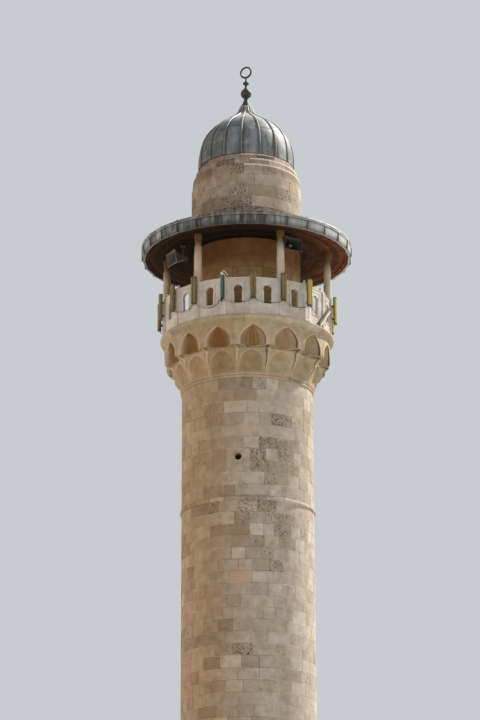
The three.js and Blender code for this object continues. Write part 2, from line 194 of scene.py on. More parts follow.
def newObject(name, mesh):
    piece = bpy.data.objects.new(name, mesh)
    scene.collection.objects.link(piece)
    return piece


def fit(piece, slot, *nodes):
    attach(piece, "root")
    if nodes:
        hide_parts(*nodes)


def giveCore(material, *nodes):
    # nodes that stay under their stones and show between them
    for node in nodes:
        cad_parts[node].data.materials[0] = material


def dropObject(piece):
    mesh = piece.data
    bpy.data.objects.remove(piece)
    bpy.data.meshes.remove(mesh)


def bakeTree(piece, tree, values, sharp=30):
    # runs a Geometry Nodes tree on a piece and keeps its plain result
    modifier = piece.modifiers.new("making", "NODES")
    modifier.node_group = tree
    for label, value in values.items():
        socket = next(s for s in tree.interface.items_tree if s.name == label and s.in_out == "INPUT")
        modifier[socket.identifier] = value
    graph = bpy.context.evaluated_depsgraph_get()
    result = bpy.data.meshes.new_from_object(piece.evaluated_get(graph), depsgraph=graph)
    old = piece.data
    piece.modifiers.remove(modifier)
    piece.data = result
    bpy.data.meshes.remove(old)
    tidyMesh(result, sharp)
    return piece


def newTree(name, sockets):
    tree = bpy.data.node_groups.new(name, "GeometryNodeTree")
    for label, kind, value in [("Geometry", "Geometry", None)] + sockets + [("Material", "Material", None)]:
        socket = tree.interface.new_socket(label, in_out="INPUT", socket_type="NodeSocket" + kind)
        if value is not None:
            socket.default_value = value
    tree.interface.new_socket("Geometry", in_out="OUTPUT", socket_type="NodeSocketGeometry")
    return tree, addNode(tree, "NodeGroupInput").outputs


def closeTree(tree, entry, geometry):
    real = addNode(tree, "GeometryNodeRealizeInstances", links={"Geometry": geometry})
    painted = addNode(tree, "GeometryNodeSetMaterial",
                      links={"Geometry": real, "Material": entry["Material"]})
    addNode(tree, "NodeGroupOutput", links={0: painted})
    return tree


def namedField(tree, name, kind="FLOAT"):
    return addNode(tree, "GeometryNodeInputNamedAttribute", {"data_type": kind, "Name": name})


def stoneTree():
    # one block for each point of a table, bevelled at its real size and bent round the wall
    tree, entry = newTree("layStones", [("Block", "Object", None), ("Radius", "Float", 1.7),
                                        ("Arris", "Float", 0.008)])
    block = addNode(tree, "GeometryNodeObjectInfo", links={"Object": entry["Block"]})
    centred = addNode(tree, "GeometryNodeStoreNamedAttribute",
                      {"data_type": "FLOAT_VECTOR", "domain": "POINT", "Name": "centre"},
                      {"Geometry": entry["Geometry"], "Value": addNode(tree, "GeometryNodeInputPosition")})
    laid = addNode(tree, "GeometryNodeInstanceOnPoints",
                   links={"Points": centred, "Instance": block.outputs["Geometry"]})
    real = addNode(tree, "GeometryNodeRealizeInstances", links={"Geometry": laid})
    corner, halfSize, inset, centre = (namedField(tree, name, "FLOAT_VECTOR")
                                       for name in ("corner", "halfSize", "inset", "centre"))
    half = addNode(tree, "ShaderNodeVectorMath", {"operation": "MULTIPLY"}, {0: corner, 1: halfSize})
    nick = addNode(tree, "ShaderNodeVectorMath", {"operation": "SCALE"}, {0: inset, "Scale": entry["Arris"]})
    offset = addNode(tree, "ShaderNodeVectorMath", {"operation": "ADD"}, {0: half, 1: nick})
    flat = addNode(tree, "ShaderNodeVectorMath", {"operation": "ADD"}, {0: centre, 1: offset})
    parts = addNode(tree, "ShaderNodeSeparateXYZ", links={0: flat}).outputs
    angle = addNode(tree, "ShaderNodeMath", {"operation": "DIVIDE"}, {0: parts["X"], 1: entry["Radius"]})
    reach = addNode(tree, "ShaderNodeMath", {"operation": "ADD"}, {0: parts["Y"], 1: entry["Radius"]})
    inwards = addNode(tree, "ShaderNodeMath", {"operation": "MULTIPLY", 1: -1.0}, {0: reach})
    bent = {"Z": parts["Z"]}
    for axis, turn, length in (("X", "SINE", reach), ("Y", "COSINE", inwards)):
        share = addNode(tree, "ShaderNodeMath", {"operation": turn}, {0: angle})
        bent[axis] = addNode(tree, "ShaderNodeMath", {"operation": "MULTIPLY"}, {0: share, 1: length})
    place = addNode(tree, "ShaderNodeCombineXYZ", links=bent)
    wall = addNode(tree, "GeometryNodeSetPosition", links={"Geometry": real, "Position": place})
    return closeTree(tree, entry, wall)


def ringTree():
    # copies of one item, each turned about the tower's axis to its point's bearing
    tree, entry = newTree("setRound", [("Item", "Object", None)])
    item = addNode(tree, "GeometryNodeObjectInfo", links={"Object": entry["Item"]})
    turn = addNode(tree, "ShaderNodeCombineXYZ", links={"Z": namedField(tree, "turn")})
    laid = addNode(tree, "GeometryNodeInstanceOnPoints",
                   links={"Points": entry["Geometry"], "Instance": item.outputs["Geometry"],
                          "Rotation": turn})
    return closeTree(tree, entry, laid)


def rollTree():
    # a round bar along every path of a mesh of edges
    tree, entry = newTree("rollAlong", [("Thickness", "Float", 0.02), ("Sides", "Int", 8)])
    path = addNode(tree, "GeometryNodeMeshToCurve", links={"Mesh": entry["Geometry"]})
    section = addNode(tree, "GeometryNodeCurvePrimitiveCircle",
                      links={"Resolution": entry["Sides"], "Radius": entry["Thickness"]})
    bar = addNode(tree, "GeometryNodeCurveToMesh", {"Fill Caps": True},
                  {"Curve": path, "Profile Curve": section})
    return closeTree(tree, entry, bar)


layStones = stoneTree()
setRound = ringTree()
rollAlong = rollTree()


def setRoundAxis(name, item, bearings, material, seed=1, sharp=30):
    draw = random.Random(seed)
    mesh = newMesh(name, [(0, 0, 0)] * len(bearings))
    setField(mesh, "turn", [math.radians(b) for b in bearings])
    setField(mesh, "tone", [draw.random() for _ in bearings])
    piece = bakeTree(newObject(name, mesh), setRound, {"Item": item, "Material": material}, sharp)
    dropObject(item)
    return piece


def roll(name, paths, thickness, material, sides=8):
    points = []
    edges = []
    for path in paths:
        start = len(points)
        points.extend(tuple(p) for p in path)
        edges.extend((start + i, start + i + 1) for i in range(len(path) - 1))
    values = {"Thickness": thickness, "Sides": sides, "Material": material}
    return bakeTree(newObject(name, newMesh(name, points, edges)), rollAlong, values)


def joinPieces(name, pieces):
    # one mesh object from several, each with its own material slots kept
    work = bmesh.new()
    materials = []
    for piece in pieces:
        base = len(materials)
        materials.extend(piece.data.materials)
        start = len(work.faces)
        work.from_mesh(piece.data)
        work.faces.ensure_lookup_table()
        for i in range(start, len(work.faces)):
            work.faces[i].material_index += base
    mesh = bpy.data.meshes.new(name)
    work.to_mesh(mesh)
    work.free()
    for material in materials:
        mesh.materials.append(material)
    for piece in pieces:
        dropObject(piece)
    return newObject(name, mesh)


def startMaterial(name):
    material = bpy.data.materials.new(name)
    material.use_nodes = True
    tree = material.node_tree
    tree.nodes.clear()
    return material, tree, addNode(tree, "ShaderNodeTexCoord").outputs["Object"]


def finishMaterial(tree, settings, links):
    shader = addNode(tree, "ShaderNodeBsdfPrincipled", settings, links)
    addNode(tree, "ShaderNodeOutputMaterial", links={"Surface": shader})


def readFields(tree, *names):
    # the numbers that a piece's mesh holds
    return {name: addNode(tree, "ShaderNodeAttribute", {"attribute_name": name}).outputs["Fac"]
            for name in names}


def layColours(tree, colour, layers):
    # colours over each other: each has its mask and its tint, and may say how it blends
    for mask, tint, *blend in layers:
        settings = {"data_type": "RGBA", "blend_type": (blend or ["MIX"])[0], 7: tint}
        colour = addNode(tree, "ShaderNodeMix", settings, {0: mask, 6: colour}).outputs[2]
    return colour


# Camera and light

cameraLook = {"distance": 59.7, "height": 0.24, "bearing": 5.9, "pitch": 18.37, "aim": 0.18,
              "roll": -0.2, "lens": 120.0}


def placeCamera():
    look = cameraLook
    data = bpy.data.cameras.new("camera")
    data.lens = look["lens"]
    data.clip_end = 400
    camera = bpy.data.objects.new("camera", data)
    scene.collection.objects.link(camera)
    turned = (Matrix.Rotation(math.radians(look["bearing"] + look["aim"]), 4, "Z")
              @ Matrix.Rotation(math.radians(90 + look["pitch"]), 4, "X")
              @ Matrix.Rotation(math.radians(look["roll"]), 4, "Z"))
    stand = onCircle(look["distance"], look["bearing"], look["height"])
    camera.matrix_world = Matrix.Translation(stand) @ turned
    scene.camera = camera


# a sun has its bearing and height in degrees, its strength, its width and its colour
lightLook = {"sky": "#dde1e6", "skyStrength": 0.80, "sun": (129.0, 46.0, 6.6, 0.8, "#fff8ec"),
             "cloud": (-108.0, 22.0, 0.9, 60.0, "#fff6e8"), "floor": "#b8b5ae", "floorHalf": 150.0}


def addSun(name, bearing, height, strength, width, colour):
    data = bpy.data.lights.new(name, "SUN")
    data.energy = strength
    data.angle = math.radians(width)
    data.color = linearColour(colour)[:3]
    lamp = bpy.data.objects.new(name, data)
    scene.collection.objects.link(lamp)
    flat = math.cos(math.radians(height))
    towards = onCircle(flat, bearing, math.sin(math.radians(height)))
    lamp.matrix_world = towards.to_track_quat("Z", "Y").to_matrix().to_4x4()


def lightScene():
    look = lightLook
    world = bpy.data.worlds.new("paleSky")
    scene.world = world
    world.use_nodes = True
    world.node_tree.nodes.clear()
    sky = addNode(world.node_tree, "ShaderNodeBackground",
                  {"Color": look["sky"], "Strength": look["skyStrength"]})
    addNode(world.node_tree, "ShaderNodeOutputWorld", links={"Surface": sky})
    addSun("sun", *look["sun"])
    addSun("cloud", *look["cloud"])
    scene.view_settings.view_transform = "Standard"
    floor = Stock()
    half = look["floorHalf"]
    floor.add([(-half, -half, 0), (half, -half, 0), (half, half, 0), (-half, half, 0)], [(0, 1, 2, 3)])
    material, tree, _ = startMaterial("studioFloor")
    finishMaterial(tree, {"Base Color": look["floor"], "Roughness": 0.9}, {})
    floor.build("floor", material)


placeCamera()
lightScene()
print("camera and light placed")


# Stone

def limestone(name, look):
    # weathered limestone ashlar: matt, lightly tooled, each block its own tone, some of them
    # pitted and black with crust; the crust field also paints shadow lines on the corbels and the
    # parapet frames, and the pale field paints highlights on some edges
    look = {"cloud": 0.5, "shadeSideFrom": (0.9, -0.6), "topDarkening": "#ffffff", "topDarkeningFrom": (0.0, 1.0),
            "pits": 0.53, "hollow": "#ffffff", **look}
    material, tree, place = startMaterial(name)
    fields = readFields(tree, "tone", "blush", "pitted", "crust", "hollow", "pale")
    block = addNode(tree, "ShaderNodeValToRGB", {"stops": look["tones"]}, {"Fac": fields["tone"]})
    sides = addNode(tree, "ShaderNodeSeparateXYZ", links={0: place}).outputs

    # stains 0.2 m across, wide rain stains, pits, 10 to 20 mm specks, and the stone's grain,
    # drawn at 12 mm so that it shows
    sizes = {"cloud": (5.0, 6.0, 0.62), "wide": (0.7, 3.0, 0.5), "pits": (21.0, 4.0, 0.68),
             "specks": (46.0, 2.0, 0.5), "grain": (85.0, 5.0, 0.7)}
    noise = {label: addNode(tree, "ShaderNodeTexNoise",
                            {"Scale": scale, "Detail": detail, "Roughness": rough}, {"Vector": place})
             for label, (scale, detail, rough) in sizes.items()}

    # the side away from the sun gets a browner tint, painted shade and warm light bounced from the
    # ground; some tops are darkened, the columns' and the gallery wall's as painted shade under the
    # canopy; and the niches' hollows get a painted warm shade, weaker on the sunny side
    spans = {"cloud": (noise["cloud"], (0.35, 0.68, 0.0, look["cloud"])),
             "wide": (noise["wide"], (0.45, 0.7, 0.0, look["wide"])),
             "patina": (sides["X"], (*look["shadeSideFrom"], 0.0, look["shadeSideCover"])),
             "topDarkening": (sides["Z"], look["topDarkeningFrom"]),
             "reach": (fields["pitted"], (0.0, 1.0, 0.72, look["pits"])),
             "specks": (noise["specks"], (0.70, 0.76, 0.0, 0.7)),
             "sunnySide": (sides["X"], (0.4, 1.3, 1.0, 0.55))}
    mask = {label: addNode(tree, "ShaderNodeMapRange", {"span": span}, {"Value": read})
            for label, (read, span) in spans.items()}
    over = addNode(tree, "ShaderNodeMath", {"operation": "SUBTRACT"}, {0: noise["pits"], 1: mask["reach"]})
    pits = addNode(tree, "ShaderNodeMapRange", {"span": (0.0, 0.10)}, {"Value": over})
    pitCover = addNode(tree, "ShaderNodeMath", {"operation": "MULTIPLY", 1: 0.85}, {0: pits})
    crustEdge = addNode(tree, "ShaderNodeMath", {"operation": "MULTIPLY_ADD", 1: 1.1, 2: -0.42},
                        {0: noise["pits"]})
    crustAndShadeSum = addNode(tree, "ShaderNodeMath", {"operation": "ADD"}, {0: fields["crust"], 1: crustEdge})
    crustAndShadeCover = addNode(tree, "ShaderNodeMapRange", {"span": (0.35, 0.75, 0.0, 0.85)}, {"Value": crustAndShadeSum})
    crust = addNode(tree, "ShaderNodeMath", {"operation": "MULTIPLY"}, {0: crustAndShadeCover, 1: fields["crust"]})
    # painted shade in the niches, weaker on the sunny side
    hollow = addNode(tree, "ShaderNodeMath", {"operation": "MULTIPLY"},
                     {0: fields["hollow"], 1: mask["sunnySide"]})

    # painted light: the browner side tint and the darkened tops paint shade, the hollows get painted shade,
    # the crust paints shadow lines besides real crust, and pale paints highlights
    colour = layColours(tree, block, [
        (mask["cloud"], look["stain"], "MULTIPLY"), (mask["wide"], look["warm"]),
        (mask["patina"], look["patina"], "MULTIPLY"), (mask["topDarkening"], look["topDarkening"], "MULTIPLY"),
        (fields["blush"], "#b9947f"), (fields["pitted"], "#ebe6de", "MULTIPLY"), (pitCover, "#3d352c"),
        (crust, "#2e2620"), (hollow, look["hollow"], "MULTIPLY"), (fields["pale"], "#d6ccb9"),
        (mask["specks"], "#4a3f33")])
    rough = addNode(tree, "ShaderNodeBump", {"Strength": 0.35, "Distance": 0.004}, {"Height": noise["grain"]})
    dressed = addNode(tree, "ShaderNodeBump", {"Strength": 0.5, "Distance": 0.012},
                      {"Height": noise["cloud"], "Normal": rough})
    pocked = addNode(tree, "ShaderNodeBump", {"Strength": 0.8, "Distance": 0.012, "invert": True},
                     {"Height": pits, "Normal": dressed})
    finishMaterial(tree, {"Roughness": 0.9, "Specular IOR Level": 0.25},
                   {"Base Color": colour, "Normal": pocked})
    return material


# in each look, patina is a warm tint painted on the side away from the sun, as shade and light bounced from
# the ground
wallStone = limestone("ashlarLimestone", {
    "tones": [(0.0, "#a29789"), (0.25, "#afa498"), (0.55, "#bbb2a7"), (0.85, "#c4bcb2"), (1.0, "#cfc8bf")],
    "stain": "#bfae99", "warm": "#b39f87", "cloud": 0.6, "wide": 0.4, "patina": "#e8cfb3",
    "shadeSideFrom": (0.45, -0.7), "shadeSideCover": 1.0})
# the drum is darkened a little at its top
drumStone = limestone("drumLimestone", {
    "tones": [(0.0, "#a3998e"), (0.5, "#bdb4a9"), (1.0, "#d0c8be")], "pits": 0.5,
    "stain": "#b5a592", "warm": "#b09a82", "cloud": 0.7, "wide": 0.5, "patina": "#d6c5b2",
    "shadeSideFrom": (0.45, -0.85), "shadeSideCover": 1.0, "topDarkening": "#dfd7d4", "topDarkeningFrom": (24.72, 24.9)})
# hollow is a warm tint painted in the niches as their shade
corbelStone = limestone("carvedLimestone", {
    "tones": [(0.0, "#ac9e88"), (0.5, "#b7a992"), (1.0, "#c0b39e")], "stain": "#b8a084", "warm": "#b89a76",
    "wide": 0.5, "patina": "#f4e3cd", "shadeSideCover": 0.7, "hollow": "#b99a6d"})
corniceStone = limestone("corniceLimestone", {
    "tones": [(0.0, "#a99c86"), (0.5, "#b3a791"), (1.0, "#beb3a0")], "stain": "#ada087", "warm": "#b5a283",
    "wide": 0.5, "patina": "#f6e8d4", "shadeSideCover": 0.5})
paleStone = limestone("dressedPaleLimestone", {
    "tones": [(0.0, "#c3bcb4"), (0.5, "#d0cac3"), (1.0, "#dad5cf")], "stain": "#b9aea1", "warm": "#c2b5a3",
    "wide": 0.3, "patina": "#f2dcc0", "shadeSideCover": 0.25})
# the tops of the columns are darkened as painted shade under the canopy
columnStone = limestone("columnLimestone", {
    "tones": [(0.0, "#c2b7a8"), (0.5, "#cbc1b4"), (1.0, "#d2cabf")], "stain": "#b8a892", "warm": "#b8a084",
    "wide": 0.4, "patina": "#f2dcc0", "shadeSideCover": 0.6, "topDarkening": "#927252", "topDarkeningFrom": (22.35, 22.7)})
# the top of the gallery wall is darkened as painted shade under the canopy
galleryStone = limestone("shelteredLimestone", {
    "tones": [(0.0, "#b2926b"), (0.5, "#bc9b73"), (1.0, "#c6a67f")], "stain": "#a88862", "warm": "#a27b50",
    "wide": 0.4, "patina": "#dcc8b0", "shadeSideCover": 0.6, "topDarkening": "#b39a86", "topDarkeningFrom": (21.9, 22.5)})


def limeMortar(name, colour, worn):
    # lime mortar, flush to slightly sunk, sandy, painted paler on the sunny side as sunlight;
    # its darker worn tone shows in patches and on the side away from the sun as painted shade
    material, tree, place = startMaterial(name)
    patches = addNode(tree, "ShaderNodeTexNoise", {"Scale": 2.2, "Detail": 5.0}, {"Vector": place})
    sides = addNode(tree, "ShaderNodeSeparateXYZ", links={0: place}).outputs
    litPaling = addNode(tree, "ShaderNodeMapRange", {"span": (0.6, 1.5, 0.0, 0.35)}, {"Value": sides["X"]})
    wearAndLight = addNode(tree, "ShaderNodeMath", {"operation": "ADD"}, {0: patches, 1: litPaling})
    tone = addNode(tree, "ShaderNodeValToRGB", {"stops": [(0.42, worn), (0.8, colour)]}, {"Fac": wearAndLight})
    sand = addNode(tree, "ShaderNodeTexNoise", {"Scale": 160.0, "Detail": 4.0}, {"Vector": place})
    rough = addNode(tree, "ShaderNodeBump", {"Strength": 0.5, "Distance": 0.003}, {"Height": sand})
    finishMaterial(tree, {"Roughness": 0.95}, {"Base Color": tone, "Normal": rough})
    return material


wallMortar = limeMortar("limeMortar", "#d6ccba", "#84745f")
drumMortar = limeMortar("drumMortar", "#b5a997", "#7f7263")
galleryMortar = limeMortar("shelteredMortar", "#735740", "#5e4530")


def unitBlock():
    # a block that the stone tree sizes: corner is in half sizes and inset in arris widths
    columns = [(-1.0, 0), (-1.0, 1), (-0.5, 0), (0.0, 0), (0.5, 0), (1.0, -1), (1.0, 0)]
    rows = [(-1.0, 0), (-1.0, 1), (1.0, -1), (1.0, 0)]
    wide, tall = len(columns), len(rows)
    layer = wide * tall
    corners, insets = [], []
    for front in (True, False):
        for j, (v, insetV) in enumerate(rows):
            for i, (u, insetU) in enumerate(columns):
                rim = i in (0, wide - 1) or j in (0, tall - 1)
                corners.append((u, 1.0 if front else -1.0, v))
                insets.append((insetU, -1.0 if front and rim else 0.0, insetV))
    loop = (list(range(wide)) + [j * wide + wide - 1 for j in range(1, tall)]
            + [layer - 1 - i for i in range(1, wide)] + [j * wide for j in range(tall - 2, 0, -1)])
    faces = skin(tall, wide, closed=False)
    faces += [(a, b, b + layer, a + layer) for a, b in zip(loop, loop[1:] + loop[:1])]
    faces.append([layer + i for i in reversed(loop)])
    used = sorted({i for face in faces for i in face})
    index = {old: new for new, old in enumerate(used)}
    mesh = newMesh("block", [corners[i] for i in used], faces=[[index[i] for i in face] for face in faces])
    for name, values in (("corner", corners), ("inset", insets)):
        setField(mesh, name, [value for i in used for value in values[i]], "FLOAT_VECTOR")
    return newObject("block", mesh)


def evenCourses(low, high, height):
    count = round((high - low) / height)
    return [(low + (high - low) * i / count, low + (high - low) * (i + 1) / count) for i in range(count)]


def spansOf(wall, low, high, draw):
    # the free stretches of one course, in degrees, between the openings that cut it
    cuts = sorted((a, b) for a, b, z0, z1 in wall.get("openings", []) if z0 < high - 0.02 and z1 > low + 0.02)
    if not cuts:
        start = draw.uniform(0, 360)
        return [(start, start + 360)]
    return [(end, nextStart + (360 if i == len(cuts) - 1 else 0))
            for i, ((_, end), (nextStart, _)) in enumerate(zip(cuts, cuts[1:] + cuts[:1]))]


def stoneTable(wall):
    draw = random.Random(wall["seed"])
    stones = []
    degree = math.radians(wall["radius"])  # metres of arc to a degree
    for low, high in wall["courses"]:
        for start, end in spansOf(wall, low, high, draw):
            lengths = []
            whole = (end - start) * degree
            while sum(lengths) < whole:
                lengths.append(draw.uniform(*wall["lengths"]))
            share = whole / sum(lengths)
            x = start * degree
            for length in lengths:
                length *= share
                kind = draw.random()
                stone = {"x": x + length / 2, "z": (low + high) / 2, "width": length, "height": high - low,
                         "tone": min(max(draw.gauss(0.5, wall["spread"]), 0), 1), "blush": 0.0, "pitted": 0.0,
                         "proud": wall["proud"] + draw.uniform(-0.002, 0.002)}
                facing = (x / degree + 180) % 360 - 180
                pitted = wall["pitted"] * (2.2 if 0 < facing < 75 else 1.0)  # more on the rain side
                if kind < pitted:
                    stone["pitted"] = draw.uniform(0.3, 0.9)
                elif kind < pitted + wall["dark"]:
                    stone["tone"] = draw.uniform(0.0, 0.2)
                elif kind < pitted + wall["dark"] + wall["pink"]:
                    stone["blush"] = draw.uniform(0.1, 0.3)
                stones.append(stone)
                x += length
    return stones


def markStones(stones, wall, marks):
    # single blocks that stand out, named by bearing and height
    degree = math.radians(wall["radius"])
    for bearing, height, change in marks:
        def distance(stone):
            turn = (stone["x"] / degree - bearing + 180) % 360 - 180
            return (turn * degree) ** 2 + 4 * (stone["z"] - height) ** 2
        min(stones, key=distance).update(change if isinstance(change, dict) else {"pitted": change})


def layWall(name, wall, stones, material, joint=0.009):
    depth = wall["depth"]
    mesh = newMesh(name, [(s["x"], s["proud"] - depth / 2, s["z"]) for s in stones])
    halves = [h for s in stones for h in ((s["width"] - joint) / 2, depth / 2, (s["height"] - joint) / 2)]
    setField(mesh, "halfSize", halves, "FLOAT_VECTOR")
    for field in ("tone", "blush", "pitted"):
        setField(mesh, field, [s[field] for s in stones])
    block = unitBlock()
    piece = bakeTree(newObject(name, mesh), layStones,
                     {"Block": block, "Radius": wall["radius"], "Arris": wall["arris"], "Material": material})
    dropObject(block)
    print(name, len(stones), "stones")
    return piece


ashlar = {"radius": 1.7, "lengths": (0.28, 0.62), "spread": 0.19, "proud": 0.004, "pitted": 0.13,
          "dark": 0.04, "pink": 0.02, "depth": 0.08, "arris": 0.006}
windowLook = {"x": -0.065, "radius": 0.09, "half": 0.3, "margin": 0.02, "joint": 0.007, "depth": 0.08}
windows = [("front", 16.96), ("front", 8.9), ("back", 12.9)]


def windowStone(wall, courses, side, height, material):
    # the block that a round window is cut through, one or two courses high
    look = windowLook
    radius, half, depth = look["radius"], look["half"], look["depth"]
    reach = radius + look["margin"]
    over = [c for c in courses if c[0] < height + reach and c[1] > height - reach]
    low, high = over[0][0] + look["joint"], over[-1][1] - look["joint"]
    middle = look["x"] if side == "front" else math.pi * wall["radius"] - look["x"]
    steps = 32
    section = ((0.0, -depth), (0.0, 0.0), (0.003, 0.005), (0.35, 0.006), (0.7, 0.006), (1.0, 0.0),
               (1.0, -depth))
    rows = []
    for share, out in section:  # from the hole to the block's edge, and out of the wall
        row = []
        for i in range(steps):
            angle = 2 * math.pi * (i + 0.5) / steps
            c, s = math.cos(angle), math.sin(angle)
            rise = high - height if s > 0 else height - low
            toEdge = min(half / max(abs(c), 1e-6), rise / max(abs(s), 1e-6))
            away = radius + (toEdge - radius) * share
            x = middle + away * c
            row.append(onCircle(wall["radius"] + out, math.degrees(x / wall["radius"]), height + away * s))
        rows.append(row)
    stock = Stock("tone")
    stock.addRows(rows, looped=True, tone=0.5)
    halfTurn = math.degrees(half / wall["radius"])
    bearing = math.degrees(middle / wall["radius"])
    opening = (bearing - halfTurn, bearing + halfTurn, over[0][0], over[-1][1])
    return stock.build("windowStone", material), opening


def buildShaft():
    blackened = {"pitted": 1.0, "tone": 0.45}
    browned = {"tone": 0.05, "blush": 0.1, "pitted": 0.4}
    bleached = {"tone": 0.95, "pitted": 0.0}
    marks = {  # bearing and height of a block, and what it is like, or how pitted
        "shaftUpperAshlar": [(20.6, 16.96, blackened), (30.5, 17.85, blackened), (37.8, 17.3, 0.8),
                             (-18.0, 17.9, {"pitted": 0.7, "blush": 0.2}), (55.0, 18.0, 0.8),
                             (8.0, 18.85, {"pitted": 0.7, "tone": 0.1}), (3.5, 18.55, browned),
                             (-13.5, 18.2, browned), (2.0, 18.2, bleached), (-12.0, 16.1, browned),
                             (22.0, 16.4, 0.8), (24.0, 16.6, 0.9),
                             (-8.0, 17.0, {"blush": 0.35, "pitted": 0.5}), (12.0, 16.7, 0.9),
                             (45.0, 17.1, 0.9), (30.0, 17.3, 1.0), (52.0, 16.6, 0.8)],
        "shaftLowerAshlar": [(14.0, 15.7, blackened), (2.5, 15.7, 0.9), (35.0, 15.4, 0.8),
                             (-24.0, 15.1, browned), (-8.5, 14.95, {"pitted": 0.6, "tone": 0.0}),
                             (6.8, 14.95, {"tone": 1.0, "pitted": 0.0}), (-8.4, 14.34, bleached),
                             (18.5, 14.7, 0.9), (44.0, 15.1, 0.9), (28.0, 14.5, 0.8),
                             (6.2, 13.8, {"blush": 0.6}), (-2.4, 12.0, blackened)],
    }
    for name, node, seed in (("shaftLowerAshlar", "shaft_lower", 21),
                             ("shaftUpperAshlar", "shaft_upper", 22)):
        low, high = heights(node)
        wall = {**ashlar, "courses": evenCourses(low, high, 0.302), "seed": seed, "openings": []}
        faces = []
        for side, height in windows:
            if low < height < high:
                block, (start, end, foot, top) = windowStone(wall, wall["courses"], side, height, wallStone)
                faces.append(block)
                wall["openings"].append((start % 360, start % 360 + end - start, foot, top))
        stones = stoneTable(wall)
        markStones(stones, wall, marks[name])
        faces.insert(0, layWall(name, wall, stones, wallStone))
        fit(joinPieces(name, faces), "limestone")
        giveCore(wallMortar, node)


buildShaft()


def sweptBlock(profile, start, end, steps, arris=0.003):
    # a block of a round moulding: its outline carried from one bearing to another, worn a
    # little smaller at both ends
    middle = [sum(corner[k] for corner in profile) / len(profile) for k in (0, 1)]
    small = []
    for corner in profile:
        share = min(1.0, arris / max(math.dist(middle, corner), 1e-6))
        small.append([p + (m - p) * share for p, m in zip(corner, middle)])
    nick = math.degrees(arris / profile[0][0])
    bearings = [start + nick + (end - start - 2 * nick) * i / steps for i in range(steps + 1)]
    outlines = [(start, small)] + [(bearing, profile) for bearing in bearings] + [(end, small)]
    return [[onCircle(radius, bearing, height) for radius, height in outline]
            for bearing, outline in outlines]


def ringOfBlocks(name, profile, bearings, joint, material, seed, crust=0.0, pitted=0.0, marks=(), litEdges=()):
    # marks change the blocks between two bearings, and the last argument names the profile's
    # corners that are painted pale on the sunny side as highlights
    draw = random.Random(seed)
    stock = Stock("tone", "pitted", "crust", "blush", "pale")
    half = math.degrees(joint / 2 / profile[0][0])
    for start, end in zip(bearings, bearings[1:] + [bearings[0] + 360]):
        steps = max(2, round((end - start) / 4))
        rows = sweptBlock(profile, start + half, end - half, steps)
        values = {"tone": draw.random(), "crust": crust * draw.random(),
                  "pitted": draw.random() if draw.random() < pitted else 0.0}
        middle = ((start + end) / 2 + 180) % 360 - 180
        for markFrom, markTo, change in marks:
            if markFrom < middle < markTo:
                values.update(change)
        # the lit corners are painted pale on the sunny side only
        worn = [0.9 if i in litEdges and 4 < middle < 140 else 0.0 for i in range(len(profile))]
        stock.addRows(rows, capped=True, pale=worn * len(rows), **values)
    return stock.build(name, material, 25)


def evenBearings(count, start, wander=0.0, seed=1):
    draw = random.Random(seed)
    return [start + 360 / count * (i + draw.uniform(-wander, wander)) for i in range(count)]


def buildMouldings():
    low, high = heights("string_course")
    course = [(1.65, low), (1.712, low), (1.718, low + 0.012), (1.738, low + 0.034), (1.738, low + 0.066),
              (1.724, high), (1.65, high)]
    fit(ringOfBlocks("stringCourse", course, evenBearings(22, 4, 0.12, 5), 0.006, wallStone, 31, 0.3, 0.3),
        "limestone", "string_course")
    low, high = heights("shaft_foot")
    foot = [(1.6, low), (1.84, low), (1.84, low + 0.115), (1.8, low + 0.16), (1.766, low + 0.2), (1.76, high),
            (1.6, high)]
    fit(ringOfBlocks("shaftFoot", foot, evenBearings(24, 3, 0.1, 6), 0.008, wallStone, 32, 0.2, 0.2),
        "limestone", "shaft_foot")
    low, high = heights("corbel_ring")
    ring = [(1.6, low), (1.712, low), (1.731, low + 0.012), (1.735, low + 0.03), (1.728, low + 0.048),
            (1.713, low + 0.058), (1.713, low + 0.066), (1.738, low + 0.078), (1.746, low + 0.094),
            (1.742, high), (1.6, high)]
    fit(ringOfBlocks("corbelRing", ring, evenBearings(20, 7, 0.1, 7), 0.005, corbelStone, 33, 0.25, 0.2,
                     [(12, 38, {"blush": 0.5}), (38, 52, {"crust": 0.3, "pitted": 0.9})]),
        "corbel_stone", "corbel_ring")
    low, high = heights("cornice")
    cornice = [(1.9, low), (2.178, low), (2.184, low + 0.03), (2.206, low + 0.034), (2.21, low + 0.06),
               (2.232, low + 0.066), (2.262, low + 0.088), (2.278, low + 0.115), (2.28, low + 0.145),
               (2.27, high - 0.004), (2.262, high), (1.9, high)]
    fit(ringOfBlocks("corniceBlocks", cornice, evenBearings(18, 4.0, 0.02, 8), 0.006, corniceStone, 34,
                     0.15, 0.15),
        "corbel_stone", "cornice")


buildMouldings()
print("shaft and mouldings laid")


# The corbels: a cell is one niche above another, 24 degrees wide

corbelLook = {
    "cells": 15, "first": 9.5, "half": 12.0, "inner": 1.6,
    "sill": 19.80, "top": 20.39, "foot": 19.16, "face": 2.168,
    "upperHalf": 0.338, "upperSpring": 0.15, "upperApex": 0.495, "upperDepth": 0.21, "lobes": 6,
    "lowerApex": 19.712, "lowerSpring": 19.42,
    # a kind has its name, its flutes' depth, how strong its dark joints and painted shadow lines are, and its
    # cells
    "kinds": [("sunnyNiches", 0.018, 1.0, (1, 2, 3, 4, 5)), ("frontNiche", 0.009, 0.9, (0,)),
              ("leeNiches", 0.018, 0.0, (9, 10, 11)), ("plainNiches", 0.0, 0.0, (6, 7, 8, 12, 13, 14))],
}
